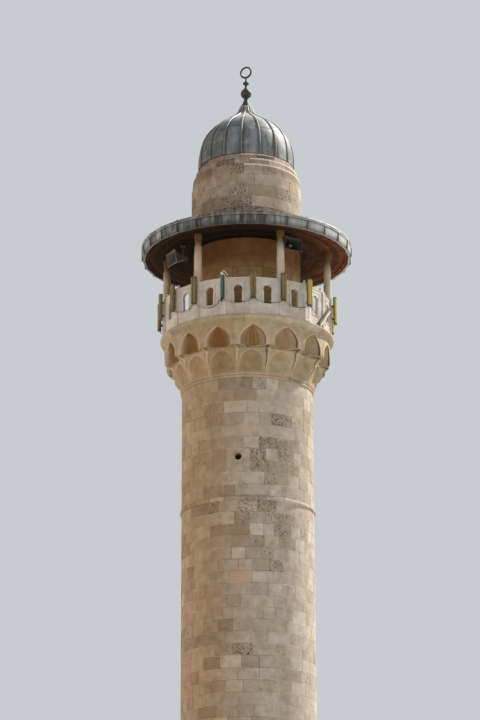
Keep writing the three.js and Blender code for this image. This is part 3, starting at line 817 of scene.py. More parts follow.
# tables of height and radius, or height and half width in degrees
prowRadius = [(19.16, 1.752), (19.24, 1.765), (19.38, 1.82), (19.42, 1.885), (19.54, 1.955), (19.68, 1.975),
              (19.72, 2.06), (19.80, 2.125)]
hollowRadius = [(19.16, 1.748), (19.30, 1.765), (19.45, 1.83), (19.62, 1.90), (19.71, 1.922), (19.80, 1.925)]
nicheBack = [(19.16, 1.748), (19.30, 1.758), (19.45, 1.792), (19.60, 1.832), (19.712, 1.862)]
prowHalf = [(19.16, 0.3), (19.45, 0.8), (19.65, 1.3), (19.72, 2.0), (19.80, 0.6)]
lowerArchHalf = [(19.16, 11.4), (19.30, 10.4), (19.42, 9.4)]


def closeCell(stock, low, high):
    # the level bottom and top of a cell and its plain wall towards the stair
    half, inner = corbelLook["half"], corbelLook["inner"]
    for row in (low, high):
        points = [cell[0] for cell in row]
        points += [onCircle(inner, b, points[0].z) for b in (half, 0, -half)]
        stock.add(points, [list(range(len(points)))])
    foot, top = low[0][0].z, high[0][0].z
    for a, b in ((-half, 0), (0, half)):
        corners = ((a, foot), (b, foot), (b, top), (a, top))
        stock.add([onCircle(inner, bearing, z) for bearing, z in corners], [(0, 1, 2, 3)])


def pointedOutline():
    # half widths and heights of a niche's edge: upright, then a curve to its point
    look = corbelLook
    half, spring, apex = look["upperHalf"], look["upperSpring"], look["upperApex"]
    shoulder = (half * 0.88, spring + (apex - spring) * 0.62)
    outline = [(half, rise) for rise in (0.0, 0.012, 0.03, 0.06, 0.105, spring)]
    for i in range(1, 17):
        t = i / 16
        outline.append((half * (1 - t) ** 2 + shoulder[0] * 2 * t * (1 - t),
                        spring * (1 - t) ** 2 + shoulder[1] * 2 * t * (1 - t) + apex * t * t))
    return outline


def upperCell(flutes, jointShade):
    # the last argument is how black the joint is that runs down one edge, and how strong the
    # painted shadow is there on the sunny niches; the niche's hollow is painted shade, darkest low in
    # the middle and along the sill and varied along the flutes, and its left rim is painted pale as a
    # highlight
    look = corbelLook
    sill, half, face, apex = look["sill"], look["half"], look["face"], look["upperApex"]
    across = [-1.0, -0.985, -0.955] + [-1 + 2 * i / 30 for i in range(1, 30)] + [0.955, 0.985, 1.0]
    inside, sides = [], {-1: [], 1: []}
    for width, rise in pointedOutline():
        height = sill + rise
        front = between(rise, [(0.0, face - 0.03), (0.05, face - 0.004), (0.08, face)])
        upright = math.sqrt(max(0.0, 1 - (rise / 0.56) ** 2)) * math.sqrt(max(0.0, 1 - (rise / apex) ** 2.2))
        row = []
        for t in across:
            share = math.sqrt(max(0.0, 1 - t * t))
            rib = abs(math.sin(math.pi * look["lobes"] / 2 * (t + 1))) if flutes else 1.0
            depth = look["upperDepth"] * upright * share + flutes * upright ** 0.6 * share * (rib - 0.5)
            crust = max(0.35 * max(0.0, 1 - rise / 0.16) * share ** 3, jointShade * max(0.0, (t - 0.9) / 0.1),
                        0.75 * jointShade * max(0.0, 1 - rise / 0.03))
            row.append((onCircle(min(front, face - depth), math.degrees(t * width / face), height),
                        min(1.0, (0.72 + 0.38 * rib) * share), crust, 0.45 * max(0.0, (-t - 0.9) / 0.1)))
        inside.append(row)
        for side, cells in sides.items():
            edge = side * math.degrees(width / face)
            row = []
            for share in (0.0, 0.07, 0.18, 0.5, 0.9, 1.0):
                joint = share == 1.0
                near = max(0.0, 1 - share / 0.18)
                knot = max(0.0, 1 - rise / 0.06) * max(0.0, 1 - share / 0.6)
                dark = jointShade * max(near, knot) if side > 0 else 0.45 * knot
                row.append((onCircle(front - 0.006 * joint, edge + (side * half - edge) * share, height), 0.0,
                            max(dark, 0.25 * joint), 0.6 * near if side < 0 else 0.0))
            cells.append(row)
    top = [cell[0] for cell in list(reversed(sides[-1][-1])) + sides[1][-1][1:]]
    band = [[(Vector((p.x, p.y, height)), 0.0, 0.08) for p in top]
            for height in (sill + apex, sill + apex + 0.03, look["top"])]
    stock = Stock("hollow", "crust", "pale")
    for rows in (inside, sides[-1], sides[1], band):
        stock.addCells(rows, closed=False)
    closeCell(stock, list(reversed(sides[-1][0])) + inside[0][1:] + sides[1][0][1:], band[-1])
    return stock.build("upperCell", None, 40, 0.0002)


def lowerCell(jointShade):
    look = corbelLook
    half, foot, apex, spring = look["half"], look["foot"], look["lowerApex"], look["lowerSpring"]
    levels = [foot, 19.20, 19.24, 19.31, 19.38, 19.42, 19.48, 19.54, 19.585, 19.62, 19.65, 19.675, 19.692,
              19.704, 19.710, apex]
    across = [math.sin(math.pi / 2 * (i / 14 - 1)) for i in range(29)]
    sideShares = [0.0, 0.05, 0.2, 0.5, 0.8, 0.93, 1.0]

    def outer(bearing, height):
        edge = half - between(height, prowHalf)
        crest = between(height, prowRadius)
        if abs(bearing) >= edge:
            return crest
        hollow = between(height, hollowRadius)
        return hollow + (crest - hollow) * (1 - math.sqrt(1 - (bearing / edge) ** 2))

    def archHalf(height):
        share = max(0.0, (height - spring) / (apex - spring))
        widest = between(height, lowerArchHalf) * max(0.0, 1 - share ** 2.1) ** 0.55
        return min(half - between(height, prowHalf) - 0.12, widest)

    def outsideLine(side, height, start):
        # from the arch's rim to the prow's middle, with the black joint and its painted shadow on
        # the sunny cells, and edges painted pale as highlights
        edge = half - between(height, prowHalf)
        bearings = [start + (edge - start) * share for share in sideShares] + [half]
        dark = [0.0] * 6 + ([0.9 * jointShade + 0.15, 0.5 * jointShade] if side > 0 else [0.0, 0.15])
        litEdges = [0.3, 0.2, 0.0, 0.0, 0.0, 0.0, 0.0 if side > 0 else 0.6, 0.0]
        return [(onCircle(outer(b, height), side * b, height), 0.15, d, r)
                for b, d, r in zip(bearings, dark, litEdges)]

    inside, sides = [], {-1: [], 1: []}
    for height in levels:
        reach = archHalf(height)
        rim = outer(reach, height) - (0.004 if height < apex else 0.0)
        back = min(between(height, nicheBack), rim)
        row = []
        for t in across:
            share = math.sqrt(max(0.0, 1 - t * t))
            radius = rim + (back - rim) * share if height < apex else outer(0, height)
            # the niche is darkened at its foot, and on the sunny cells its right edge gets a painted shadow
            # line; its hollow is painted shade
            crust = 0.3 * max(0.0, 1 - (height - foot) / 0.07) + 0.35 * max(0.0, (t - 0.93) / 0.07) * jointShade
            row.append((onCircle(radius, t * reach, height), 0.2 + 0.3 * share, crust,
                        0.25 * max(0.0, (abs(t) - 0.95) / 0.05)))
        inside.append(row)
        for side, cells in sides.items():
            first, *others = outsideLine(side, height, reach)
            cells.append([(row[0 if side < 0 else -1][0], *first[1:])] + others)
    band = [[(cell[0], 0.15) for cell in list(reversed(sides[-1][-1])) + sides[1][-1][1:]]]
    # a dark line painted under the sill, as its shadow
    for height in (19.724, 19.745, 19.775, look["sill"] - 0.0006):
        least = 0.15 + 0.5 * jointShade if height > 19.77 else 0.0
        row = list(reversed(outsideLine(-1, height, 0.0))) + outsideLine(1, height, 0.0)[1:]
        band.append([(point, hollow, max(least, dark)) for point, hollow, dark, _ in row])
    stock = Stock("hollow", "crust", "pale")
    for rows in (inside, sides[-1], sides[1], band):
        stock.addCells(rows, closed=False)
    closeCell(stock, list(reversed(sides[-1][0])) + inside[0][1:] + sides[1][0][1:], band[-1])
    return stock.build("lowerCell", None, 40, 0.0002)


def buildCorbels():
    look = corbelLook
    bearings = evenBearings(look["cells"], look["first"])
    uppers = [setRoundAxis(name, upperCell(flutes, jointShade), [bearings[k] for k in cells], corbelStone,
                           41 + i, 40)
              for i, (name, flutes, jointShade, cells) in enumerate(look["kinds"])]
    lowers = [setRoundAxis("sunnyCells", lowerCell(1.0), bearings[:6], corbelStone, 45, 40),
              setRoundAxis("plainCells", lowerCell(0.0), bearings[6:], corbelStone, 46, 40)]
    for name, cells, node in (("corbelUpperTier", uppers, "corbel_upper_tier"),
                              ("corbelLowerTier", lowers, "corbel_lower_tier")):
        tier = joinPieces(name, cells)
        tidyMesh(tier.data, 40, 0.0006)
        fit(tier, "corbel_stone", node)


buildCorbels()
print("corbels carved")


# The parapet: flat slabs with horseshoe openings between posts

# a frame has its half width, its ears' half width, its foot, its shoulders and its head, and a
# cap is a profile of radius and height over the post
parapetLook = {"bay": 20, "face": 2.185, "thick": 0.07, "half": 0.312, "joint": 20.975, "openHalf": 0.1,
               "openSill": 20.88, "headRadius": 0.115, "headCentre": 21.265, "border": 0.018,
               "frame": (0.163, 0.19, 20.83, 21.405, 21.47), "label": 0.125, "labelHeight": 20.84,
               "copingLow": 21.55, "coping": 0.028, "postHalf": 0.086, "postFace": 2.233,
               "postBack": 2.025, "postTop": 21.58,
               "cap": [(0.105, -0.02), (0.112, 0.0), (0.104, 0.018), (0.05, 0.07), (0.026, 0.088),
                       (0.03, 0.1), (0.034, 0.112), (0.026, 0.128), (0.0, 0.134)]}


def offsetOutline(outline, distance, closed=True):
    # moves each corner of an outline to its left, with mitred corners
    count = len(outline)
    moved = []
    for i in range(count):
        before = outline[i - 1] if closed or i > 0 else None
        after = outline[(i + 1) % count] if closed or i < count - 1 else None
        normals = []
        for a, b in ((before, outline[i]), (outline[i], after)):
            if a is None or b is None:
                continue
            dx, dz = b[0] - a[0], b[1] - a[1]
            length = math.hypot(dx, dz) or 1e-9
            normals.append((-dz / length, dx / length))
        nx = sum(n[0] for n in normals) / len(normals)
        nz = sum(n[1] for n in normals) / len(normals)
        scale = distance / max(nx * nx + nz * nz, 0.25)
        moved.append((outline[i][0] + nx * scale, outline[i][1] + nz * scale))
    return moved


def standing(outline, distance):
    return [Vector((x, -distance, z)) for x, z in outline]


def addPlate(stock, outline, front, back, arris=0.003, **values):
    # a slab with a counter-clockwise outline, seen from the front, and a worn front edge
    rows = [standing(offsetOutline(outline, arris), front), standing(outline, front - arris),
            standing(outline, back)]
    stock.addRows(rows, capped=True, **values)


def addBand(stock, path, width, front, back, closed=True, **values):
    # a raised moulding of even width along a path
    half = width / 2
    lip = min(width, front - back) * 0.3
    section = [(-half, back), (-half, front - lip), (lip - half, front), (half - lip, front),
               (half, front - lip), (half, back)]
    rows = [standing(offsetOutline(path, across, closed), out) for across, out in section]
    stock.addRows(rows, closed, looped=True, **values)
    if not closed:
        for i in (0, -1):
            stock.add([row[i] for row in rows], [list(range(len(rows)))], **values)


def horseshoe(grow=0.0, steps=20):
    # the opening's outline, clockwise from its lower left corner
    look = parapetLook
    half = look["openHalf"] + grow
    radius = look["headRadius"] + grow
    turn = math.acos(min(1.0, half / radius))
    arc = [(radius * math.cos(a), look["headCentre"] + radius * math.sin(a))
           for a in (math.pi + turn - (math.pi + 2 * turn) * i / steps for i in range(steps + 1))]
    return [(-half, look["openSill"] - grow)] + arc + [(half, look["openSill"] - grow)]


def parapetBay():
    look = parapetLook
    low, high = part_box("parapet_section_1")[0].z, look["copingLow"]
    half, hole, sill = look["half"], look["openHalf"], look["openSill"]
    front, back = look["face"], look["face"] - look["thick"]
    under, over = look["joint"] - 0.002, look["joint"] + 0.002
    raised, sunk = front + 0.009, front - 0.01
    stock = Stock("crust", "pitted", "pale")
    lowerBlock = [(-half, low), (half, low), (half, under), (hole, under), (hole, sill), (-hole, sill),
                  (-hole, under), (-half, under)]
    addPlate(stock, lowerBlock, front, back, pitted=0.25)
    upperBlock = [(half, over), (half, high), (-half, high), (-half, over), (-hole, over)]
    addPlate(stock, upperBlock + horseshoe()[1:-1] + [(hole, over)], front, back, pitted=0.1)
    border = look["border"]
    addBand(stock, list(reversed(horseshoe(border / 2))), border, raised, sunk, pale=0.55)
    edge, ear, foot, shoulder, head = look["frame"]
    leftHalf = [(-edge, foot), (-edge, shoulder), (-ear, shoulder), (-ear, head)]
    frameLine = leftHalf + [(-x, z) for x, z in reversed(leftHalf)]
    # a dark line painted along the frame, as its shadow
    addBand(stock, frameLine, 0.016, raised, sunk, False, crust=0.35)
    label = [(side * look["label"], look["labelHeight"]) for side in (-1, 1)]
    addBand(stock, label, 0.026, front + 0.014, sunk, False, pale=0.25)
    coping = oblong(half, high + 0.0005, high + look["coping"])
    addPlate(stock, coping, front + 0.012, back - 0.01, 0.008, pale=0.3)
    return stock.build("bay")


def parapetPost(withCap):
    look = parapetLook
    low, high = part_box("parapet_section_1")[0].z, look["postTop"]
    half, face, back = look["postHalf"], look["postFace"], look["postBack"]
    stock = Stock("crust", "pitted", "pale")
    addPlate(stock, oblong(half, low, high), face, back, 0.01, pitted=0.2)
    addBand(stock, oblong(half - 0.022, low + 0.12, high - 0.09), 0.012, face + 0.005, face - 0.01)
    addPlate(stock, oblong(half + 0.006, low, low + 0.07), face + 0.01, back - 0.005, 0.012)
    if withCap:
        rows = []
        sides = 16
        for radius, rise in look["cap"]:
            square = max(0.0, min(1.0, (radius - 0.035) / 0.05))  # how square the cap is there
            row = []
            for i in range(sides):
                angle = 2 * math.pi * (i + 0.5) / sides
                c, s = math.cos(angle), math.sin(angle)
                reach = radius * ((1 - square) + square * 0.86 / max(abs(c), abs(s)))
                row.append(Vector((reach * c, reach * s - (face + back) / 2, high + rise)))
            rows.append(row)
        stock.addRows(rows, capped=True, pale=0.5)
    return stock.build("post", None, 30, 0.0002)


def buildParapet():
    bay = parapetLook["bay"]
    for section in range(6):
        start = section * 3 * bay
        bays = [start + i * bay for i in range(3)]
        parts = [setRoundAxis("bays", parapetBay(), bays, paleStone, 51 + section),
                 setRoundAxis("cappedPosts", parapetPost(True), [start - 10, start + 10], paleStone,
                              61 + section),
                 setRoundAxis("columnPost", parapetPost(False), [start + 30], paleStone, 71 + section)]
        fit(joinPieces(f"parapetSection{section + 1}", parts), "parapet_stone",
            f"parapet_section_{section + 1}")


buildParapet()


canopyLook = {"sheets": 29, "firstSeam": 3.05, "core": 1.42, "rim": 2.72, "outer": 2.79, "cap": 0.05,
              "soffitRise": 0.1, "rimBoard": 0.115, "boards": 9, "boardGap": 0.006, "roll": 0.018}


def soffitAt(radius):
    # underside of the canopy's boards, which rise from the rim to the wall
    look = canopyLook
    share = (look["rim"] - radius) / (look["rim"] - look["core"])
    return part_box("canopy_soffit")[0].z + look["soffitRise"] * share


def turnedPiece(name, profile, sides, material, centre=(0.0, 0.0), **fields):
    # a profile of (radius, height) pairs that starts and ends on its own axis
    middle = Vector((*centre, 0.0))
    stock = Stock(*fields)
    stock.addRows([[middle + onCircle(radius, 360 * i / sides, height) for i in range(sides)]
                   for radius, height in profile], **fields)
    return stock.build(name, material, 35, 0.00001)


def buildColumns():
    low, high = heights("column_1")
    base = [(0, 0), (0.1, 0), (0.1, 0.05), (0.108, 0.065), (0.108, 0.09), (0.103, 0.105), (0.101, 0.15),
            (0.101, 0.22), (0.1, 0.45), (0.096, 1.0)]
    capital = [(0.08, -0.5), (0.078, -0.37), (0.085, -0.36), (0.085, -0.34), (0.078, -0.33), (0.084, -0.25),
               (0.092, -0.15), (0.102, -0.09), (0.106, -0.07), (0.103, -0.045), (0.1, -0.04), (0.104, 0),
               (0, 0)]
    profile = [(radius, low + z) for radius, z in base] + [(radius, high + z) for radius, z in capital]
    for i in range(6):
        node = f"column_{i + 1}"
        middle = sum(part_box(node), Vector()) / 2
        column = turnedPiece(f"column{i + 1}", profile, 24, columnStone, middle.xy, tone=0.3 + 0.1 * (i % 3))
        for vertex in column.data.vertices:
            if vertex.co.z > high - 0.001:
                vertex.co.z = soffitAt(math.hypot(vertex.co.x, vertex.co.y))
        fit(column, "parapet_stone", node)


buildColumns()
print("parapet and columns set")


# The wall inside the gallery and the drum above the canopy

def doorCut(radius, half):
    spread = math.degrees(math.asin((half + 0.002) / radius))
    return 180 - spread, 180 + spread


def buildGalleryWall():
    low, high = heights("gallery_wall_left")
    radius = 1.42
    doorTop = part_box("gallery_door_lintel")[0].z
    levels = [21.5, 21.83, 22.17, doorTop, 22.494, 22.84, high]
    courses = evenCourses(low, levels[0], 0.31) + list(zip(levels, levels[1:]))
    wall = {**ashlar, "radius": radius, "courses": courses, "seed": 81, "pitted": 0.05, "dark": 0.1,
            "pink": 0.0, "spread": 0.15, "lengths": (0.3, 0.62),
            "openings": [(*doorCut(radius, 0.35), low, doorTop)]}
    fit(layWall("galleryAshlar", wall, stoneTable(wall), galleryStone, 0.008), "gallery_stone")
    giveCore(galleryMortar, "gallery_wall_left", "gallery_wall_right", "gallery_door_lintel")


def buildDrum():
    wall = {**ashlar, "radius": 1.46, "courses": evenCourses(*heights("upper_drum"), 0.31), "seed": 84,
            "pitted": 0.4, "lengths": (0.42, 0.85)}
    stones = stoneTable(wall)
    markStones(stones, wall, [(2.0, 23.7, {"pitted": 1.0, "tone": 0.3}), (-4.0, 24.0, 0.9), (5.0, 24.3, 0.8),
                              (-25.0, 23.7, 0.9), (-40.0, 24.0, {"tone": 0.0, "blush": 0.12}),
                              (28.0, 24.3, {"tone": 0.1, "blush": 0.1}), (45.0, 24.4, 0.8)])
    fit(layWall("drumAshlar", wall, stones, drumStone), "limestone")
    giveCore(drumMortar, "upper_drum")


def buildShoulder():
    low, high = heights("drum_shoulder")
    steps = [(low, 1.456, low + 0.3, 1.425), (low + 0.3, 1.39, low + 0.49, 1.355),
             (low + 0.49, 1.315, high, 1.268)]
    inner = 1.15
    marks = [(-2, 18, {"blush": 0.8, "tone": 0.1, "pitted": 0.8})]
    rings = []
    for i, (foot, footRadius, top, topRadius) in enumerate(steps):
        profile = [(inner, foot + 0.003), (footRadius, foot + 0.003), (topRadius + 0.005, top - 0.055),
                   (topRadius + 0.003, top - 0.045), (topRadius, top - 0.012),
                   (topRadius - 0.012, top - 0.003), (inner, top - 0.003)]
        # the steps' top corners are painted pale on the sunny side, as highlights
        rings.append(ringOfBlocks(f"shoulder{i}", profile, evenBearings(17, 5 + 7 * i, 0.15, 90 + i), 0.007,
                                  drumStone, 95 + i, 0.25, 0.55, marks if i == 2 else (), (3, 4, 5)))
    fit(joinPieces("drumShoulder", rings), "limestone", "drum_shoulder")


buildGalleryWall()
buildDrum()
buildShoulder()
print("inner walls laid")


# Lead and timber

def sheetLead(name, look):
    # old sheet lead: dull grey with a white bloom, darker rain streaks and shallow dents
    material, tree, place = startMaterial(name)
    fields = readFields(tree, "tone", "grime", "dust")
    streak = addNode(tree, "ShaderNodeMapping", {"Scale": look["streak"]}, {"Vector": place})
    runs = addNode(tree, "ShaderNodeTexNoise", {"Scale": 1.0, "Detail": 5.0, "Roughness": 0.68},
                   {"Vector": streak})
    tone = addNode(tree, "ShaderNodeValToRGB", {"stops": look["tones"]}, {"Fac": runs})
    lift = addNode(tree, "ShaderNodeMapRange", {"span": (0.0, 1.0, 0.82, 1.12)}, {"Value": fields["tone"]})
    lifted = addNode(tree, "ShaderNodeVectorMath", {"operation": "SCALE"}, {0: tone, "Scale": lift})

    # the side away from the sun is painted darker as shade, and white lead carbonate blooms where
    # rain stands longest; the dome is paled towards its crown, partly bloom and partly a painted
    # highlight, and the canopy's edge on the sunny side as painted sunlight
    sides = addNode(tree, "ShaderNodeSeparateXYZ", links={0: place}).outputs
    shadedSide = addNode(tree, "ShaderNodeMapRange", {"span": (-0.1, -1.0, 0.0, look["shadedSide"])}, {"Value": sides["X"]})
    bloom = addNode(tree, "ShaderNodeTexNoise", {"Scale": 3.0, "Detail": 6.0, "Roughness": 0.7},
                    {"Vector": place})
    bloomMask = addNode(tree, "ShaderNodeMapRange", {"span": (0.52, 0.72, 0.0, look["bloom"])},
                        {"Value": bloom})
    axis, *litPalingSpan = look["litPaling"]
    litPaling = addNode(tree, "ShaderNodeMapRange", {"span": (*litPalingSpan, 0.0, 0.9)}, {"Value": sides[axis]})
    patchy = addNode(tree, "ShaderNodeMath", {"operation": "MULTIPLY_ADD"}, {0: litPaling, 1: runs, 2: litPaling})
    bloomAndLight = addNode(tree, "ShaderNodeMath", {"operation": "MULTIPLY_ADD", 1: 0.62, "use_clamp": True},
                        {0: patchy, 2: bloomMask})
    layers = [(shadedSide, "#837f78", "MULTIPLY"), (bloomAndLight, "#bdbfc0")]

    # single stains, by place and radius, then grime and painted shade in the folds, beside the
    # rolls, under the laps and the cap strip and on the hem, and dust on the ledges, which on the
    # dome's rolls stands for their highlight
    for spot, radius, stain in look["stains"]:
        away = addNode(tree, "ShaderNodeVectorMath", {"operation": "DISTANCE", 1: spot},
                       {0: place}).outputs["Value"]
        layers.append((addNode(tree, "ShaderNodeMapRange", {"span": (radius, radius * 0.4, 0.0, 0.8)},
                               {"Value": away}), stain))
    layers += [(fields["grime"], "#221f1c"), (fields["dust"], "#a3998a")]
    roughSpan = (0.0, 1.0, look["rough"] - 0.1, look["rough"] + 0.2)
    rough = addNode(tree, "ShaderNodeMapRange", {"span": roughSpan}, {"Value": bloom})
    dents = addNode(tree, "ShaderNodeTexNoise", {"Scale": 6.0, "Detail": 3.0}, {"Vector": place})
    bump = addNode(tree, "ShaderNodeBump", {"Strength": 0.6, "Distance": look["dent"]}, {"Height": dents})
    finishMaterial(tree, {"Metallic": look["metal"]},
                   {"Base Color": layColours(tree, lifted, layers), "Roughness": rough, "Normal": bump})
    return material


domeLead = sheetLead("domeSheetLead", {
    "streak": (3.0, 3.0, 0.8), "tones": [(0.3, "#505355"), (0.5, "#74787a"), (0.72, "#94999b")],
    "shadedSide": 1.0, "bloom": 0.35, "litPaling": ("Z", 26.45, 26.9), "rough": 0.56, "dent": 0.02, "metal": 0.3,
    "stains": [(onCircle(0.24, -38, 27.16), 0.24, "#453d35"), (onCircle(0.3, 11, 27.05), 0.12, "#7a4f2c"),
               (onCircle(0.5, 19, 26.88), 0.06, "#2a2826")]})
edgeLead = sheetLead("canopySheetLead", {
    "streak": (11.0, 11.0, 0.9),
    "tones": [(0.34, "#22211f"), (0.46, "#525250"), (0.58, "#74777a"), (0.72, "#989a9d")],
    "shadedSide": 0.0, "bloom": 0.55, "litPaling": ("X", 0.6, 2.3), "rough": 0.55, "dent": 0.015, "metal": 0.35,
    "stains": []})


def boardTimber(name):
    # old softwood boards, unpainted, black with smoke, and painted red-brown towards the sunny
    # side and the rim, as light bounced up onto them
    material, tree, place = startMaterial(name)
    board = readFields(tree, "tone")["tone"]
    base = addNode(tree, "ShaderNodeValToRGB",
                   {"stops": [(0.0, "#1e1612"), (0.5, "#271c16"), (1.0, "#33231b")]}, {"Fac": board})
    bare = addNode(tree, "ShaderNodeValToRGB",
                   {"stops": [(0.0, "#5f3823"), (0.5, "#79492e"), (1.0, "#8f5b3b")]}, {"Fac": board})
    flat = addNode(tree, "ShaderNodeVectorMath", {"operation": "MULTIPLY", 1: (1.0, 1.0, 0.0)}, {0: place})
    reach = addNode(tree, "ShaderNodeVectorMath", {"operation": "LENGTH"}, {0: flat}).outputs["Value"]
    sides = addNode(tree, "ShaderNodeSeparateXYZ", links={0: place}).outputs
    # painted light: towards the sunny side and the rim the boards turn red-brown
    sunSide = addNode(tree, "ShaderNodeMapRange", {"span": (0.9, 2.2)}, {"Value": sides["X"]})
    outerRing = addNode(tree, "ShaderNodeMapRange", {"span": (2.15, 2.5, 0.0, 0.18)}, {"Value": reach})
    patches = addNode(tree, "ShaderNodeTexNoise", {"Scale": 2.4, "Detail": 5.0, "Roughness": 0.6},
                      {"Vector": place})
    patchy = addNode(tree, "ShaderNodeMapRange", {"span": (0.3, 0.68, 0.3)}, {"Value": patches})
    paintedLightReach = addNode(tree, "ShaderNodeMath", {"operation": "ADD"}, {0: sunSide, 1: outerRing})
    paintedLightMask = addNode(tree, "ShaderNodeMath", {"operation": "MULTIPLY", "use_clamp": True},
                       {0: paintedLightReach, 1: patchy})
    timber = addNode(tree, "ShaderNodeMix", {"data_type": "RGBA"}, {0: paintedLightMask, 6: base, 7: bare}).outputs[2]
    grainMap = addNode(tree, "ShaderNodeMapping", {"Scale": (14.0, 14.0, 14.0)}, {"Vector": place})
    grain = addNode(tree, "ShaderNodeTexNoise", {"Scale": 1.0, "Detail": 6.0, "Distortion": 0.3},
                    {"Vector": grainMap})
    colour = layColours(tree, timber, [(grain, "#8a6a52", "MULTIPLY")])
    bump = addNode(tree, "ShaderNodeBump", {"Strength": 0.3, "Distance": 0.004}, {"Height": grain})
    finishMaterial(tree, {"Roughness": 0.9, "Specular IOR Level": 0.1},
                   {"Base Color": colour, "Normal": bump})
    return material


soffitBoards = boardTimber("agedSoftwood")


def fasciaSheet(width):
    # one sheet of the canopy's edge, flat between its seams and leaning in at its foot, with
    # a cap strip folded over its top
    look = canopyLook
    half = math.radians(width / 2)
    low, high = heights("canopy_fascia")
    capLow = high - look["cap"]
    flat = look["outer"] * math.cos(half)
    across = flat * math.tan(half)
    columns = [-1.0, -0.95, -0.8, -0.4, 0.0, 0.4, 0.8, 0.95, 1.0]
    seamDarkening = {1.0: 0.9, 0.95: 0.7, 0.8: 0.2}
    profile = [(-0.034, low), (-0.026, low + 0.004), (-0.022, low + 0.018), (-0.03, low + 0.024),
               (-0.014, (low + capLow) / 2), (-0.006, capLow - 0.012), (-0.012, capLow - 0.008),
               (-0.012, capLow), (0.006, capLow + 0.004), (0.008, high)]
    rows = []
    for out, height in profile:
        capped = height > capLow + 0.002
        # the sheet is painted dark under the cap, as its shadow, and on the hem, as shade that dulls the
        # sun's glint there; beside the seams it is darkened
        underCap = 0.9 if capLow - 0.009 < height < capLow + 0.001 else 0.0
        hem = 0.6 if height < low + 0.035 else 0.0
        row = []
        for c in columns:
            grime = 0.0 if capped else max(underCap, hem, seamDarkening.get(abs(c), 0.0))
            row.append((Vector((across * c, -(flat + out), height)), grime, 0.25 if capped else 0.0))
        rows.append(row)
    for row in (rows[-1], rows[0]):
        rows.append([(Vector((p.x * 0.975, p.y + 0.05, p.z)), 0.0, 0.3) for p, _, _ in row])
    stock = Stock("grime", "dust")
    stock.addCells(rows + rows[:1], closed=False)
    for i in (0, -1):
        stock.add([row[i][0] for row in rows], [list(range(len(rows)))])
    return stock.build("sheet", None, 30, 0.0002)


def seamItem():
    # a standing seam down the edge and the folded nub that ends it on top
    out = canopyLook["outer"]
    low, high = heights("canopy_fascia")
    stock = Stock("grime", "dust")
    addPlate(stock, oblong(0.010, low, high + 0.012), out + 0.004, out - 0.05, 0.004, grime=0.75)
    addPlate(stock, oblong(0.026, high, high + 0.045, 0.02), out + 0.006, out - 0.07, 0.008, dust=0.7)
    return stock.build("seam")


def boardSector(width):
    # the soffit between two radii: short boards that run across it
    look = canopyLook
    inner, outer = look["core"] + 0.01, look["rim"] - 0.005
    boards, gap = look["boards"], look["boardGap"]
    slope = math.tan(math.radians(width / 2))
    draw = random.Random(101)
    stock = Stock("tone")
    for i in range(boards):
        near = inner + (outer - inner) * i / boards + gap / 2
        far = inner + (outer - inner) * (i + 1) / boards - gap / 2
        drop = 0.002 + draw.uniform(0.0, 0.007)
        rows = [[Vector((side * (radius * slope - 0.002), -radius, soffitAt(radius) + lift))
                 for radius, side in ((near, -1), (far, -1), (far, 1), (near, 1))]
                for lift in (drop, 0.045)]
        stock.addRows(rows, capped=True, tone=draw.random())
    return stock.build("boards")


def soffitRing(name, inner, outer, low, high, bearings, joint, seed):
    # a ring of boards that follows the soffit's slope
    profile = [(inner, soffitAt(inner) + low), (outer, soffitAt(outer) + low),
               (outer, soffitAt(outer) + high), (inner, soffitAt(inner) + high)]
    return ringOfBlocks(name, profile, bearings, joint, soffitBoards, seed)


def buildCanopy():
    look = canopyLook
    pitch = 360 / look["sheets"]
    seamBearings = evenBearings(look["sheets"], look["firstSeam"])
    middles = [b + pitch / 2 for b in seamBearings]
    sheets = setRoundAxis("fasciaSheets", fasciaSheet(pitch), middles, edgeLead, 111)
    seams = setRoundAxis("fasciaSeams", seamItem(), seamBearings, edgeLead, 112)
    fit(joinPieces("canopyEdge", [sheets, seams]), "lead_sheet", "canopy_fascia")

    core, rim = look["core"] + 0.005, look["rim"] - 0.005
    boards = setRoundAxis("soffitBoards", boardSector(pitch), middles, soffitBoards, 113)
    curb = soffitRing("rimBoard", rim - look["rimBoard"], rim, -0.012, 0.04, seamBearings, 0.004, 114)
    collar = soffitRing("coreBoard", core, core + 0.075, -0.02, 0.04, seamBearings, 0.004, 115)
    deck = soffitRing("deck", core, rim, 0.046, 0.079, middles, 0.0, 116)
    fit(joinPieces("canopySoffit", [boards, curb, collar, deck]), "soffit_timber", "canopy_soffit")

    low, high = heights("canopy_roof")
    halfWay = (low + 0.03 + high) / 2
    profile = [(1.462, high - 0.06), (2.72, low + 0.003), (2.795, low), (2.8, low + 0.012),
               (2.796, low + 0.03), (2.1, halfWay - 0.004), (1.48, high - 0.004), (1.462, high)]
    roof = ringOfBlocks("roofSheets", profile, seamBearings, 0.002, edgeLead, 117)
    path = [(2.79, low + 0.036), (2.1, halfWay), (1.5, high + 0.002)]
    lines = [[onCircle(radius, b, z) for radius, z in path] for b in seamBearings]
    rolls = roll("roofRolls", lines, look["roll"], edgeLead)
    fit(joinPieces("canopyRoof", [roof, rolls]), "lead_sheet", "canopy_roof")


buildCanopy()
print("canopy covered")

# a gore's painted shade is by its step from the roll: the steps on both sides of each roll
# are darkened as its shadow
domeLook = {"frontSeams": [-42.5, -21.3, 0.3, 22.8, 43.8, 65.1], "backGores": 11, "steps": 9, "rows": 10,
            "roll": 0.021, "lap": 26.25, "lapShift": {1: 0.05, 2: -0.05}, "grime": {0: 0.6, 1: 0.5, 8: 0.25},
            "foot": [(1.2, 25.412), (1.274, 25.411)]}
domeProfile = [(1.278, 25.41), (1.263, 25.80), (1.160, 26.20), (0.865, 26.60), (0.43, 26.91), (0.232, 27.09),
               (0.153, 27.28)]


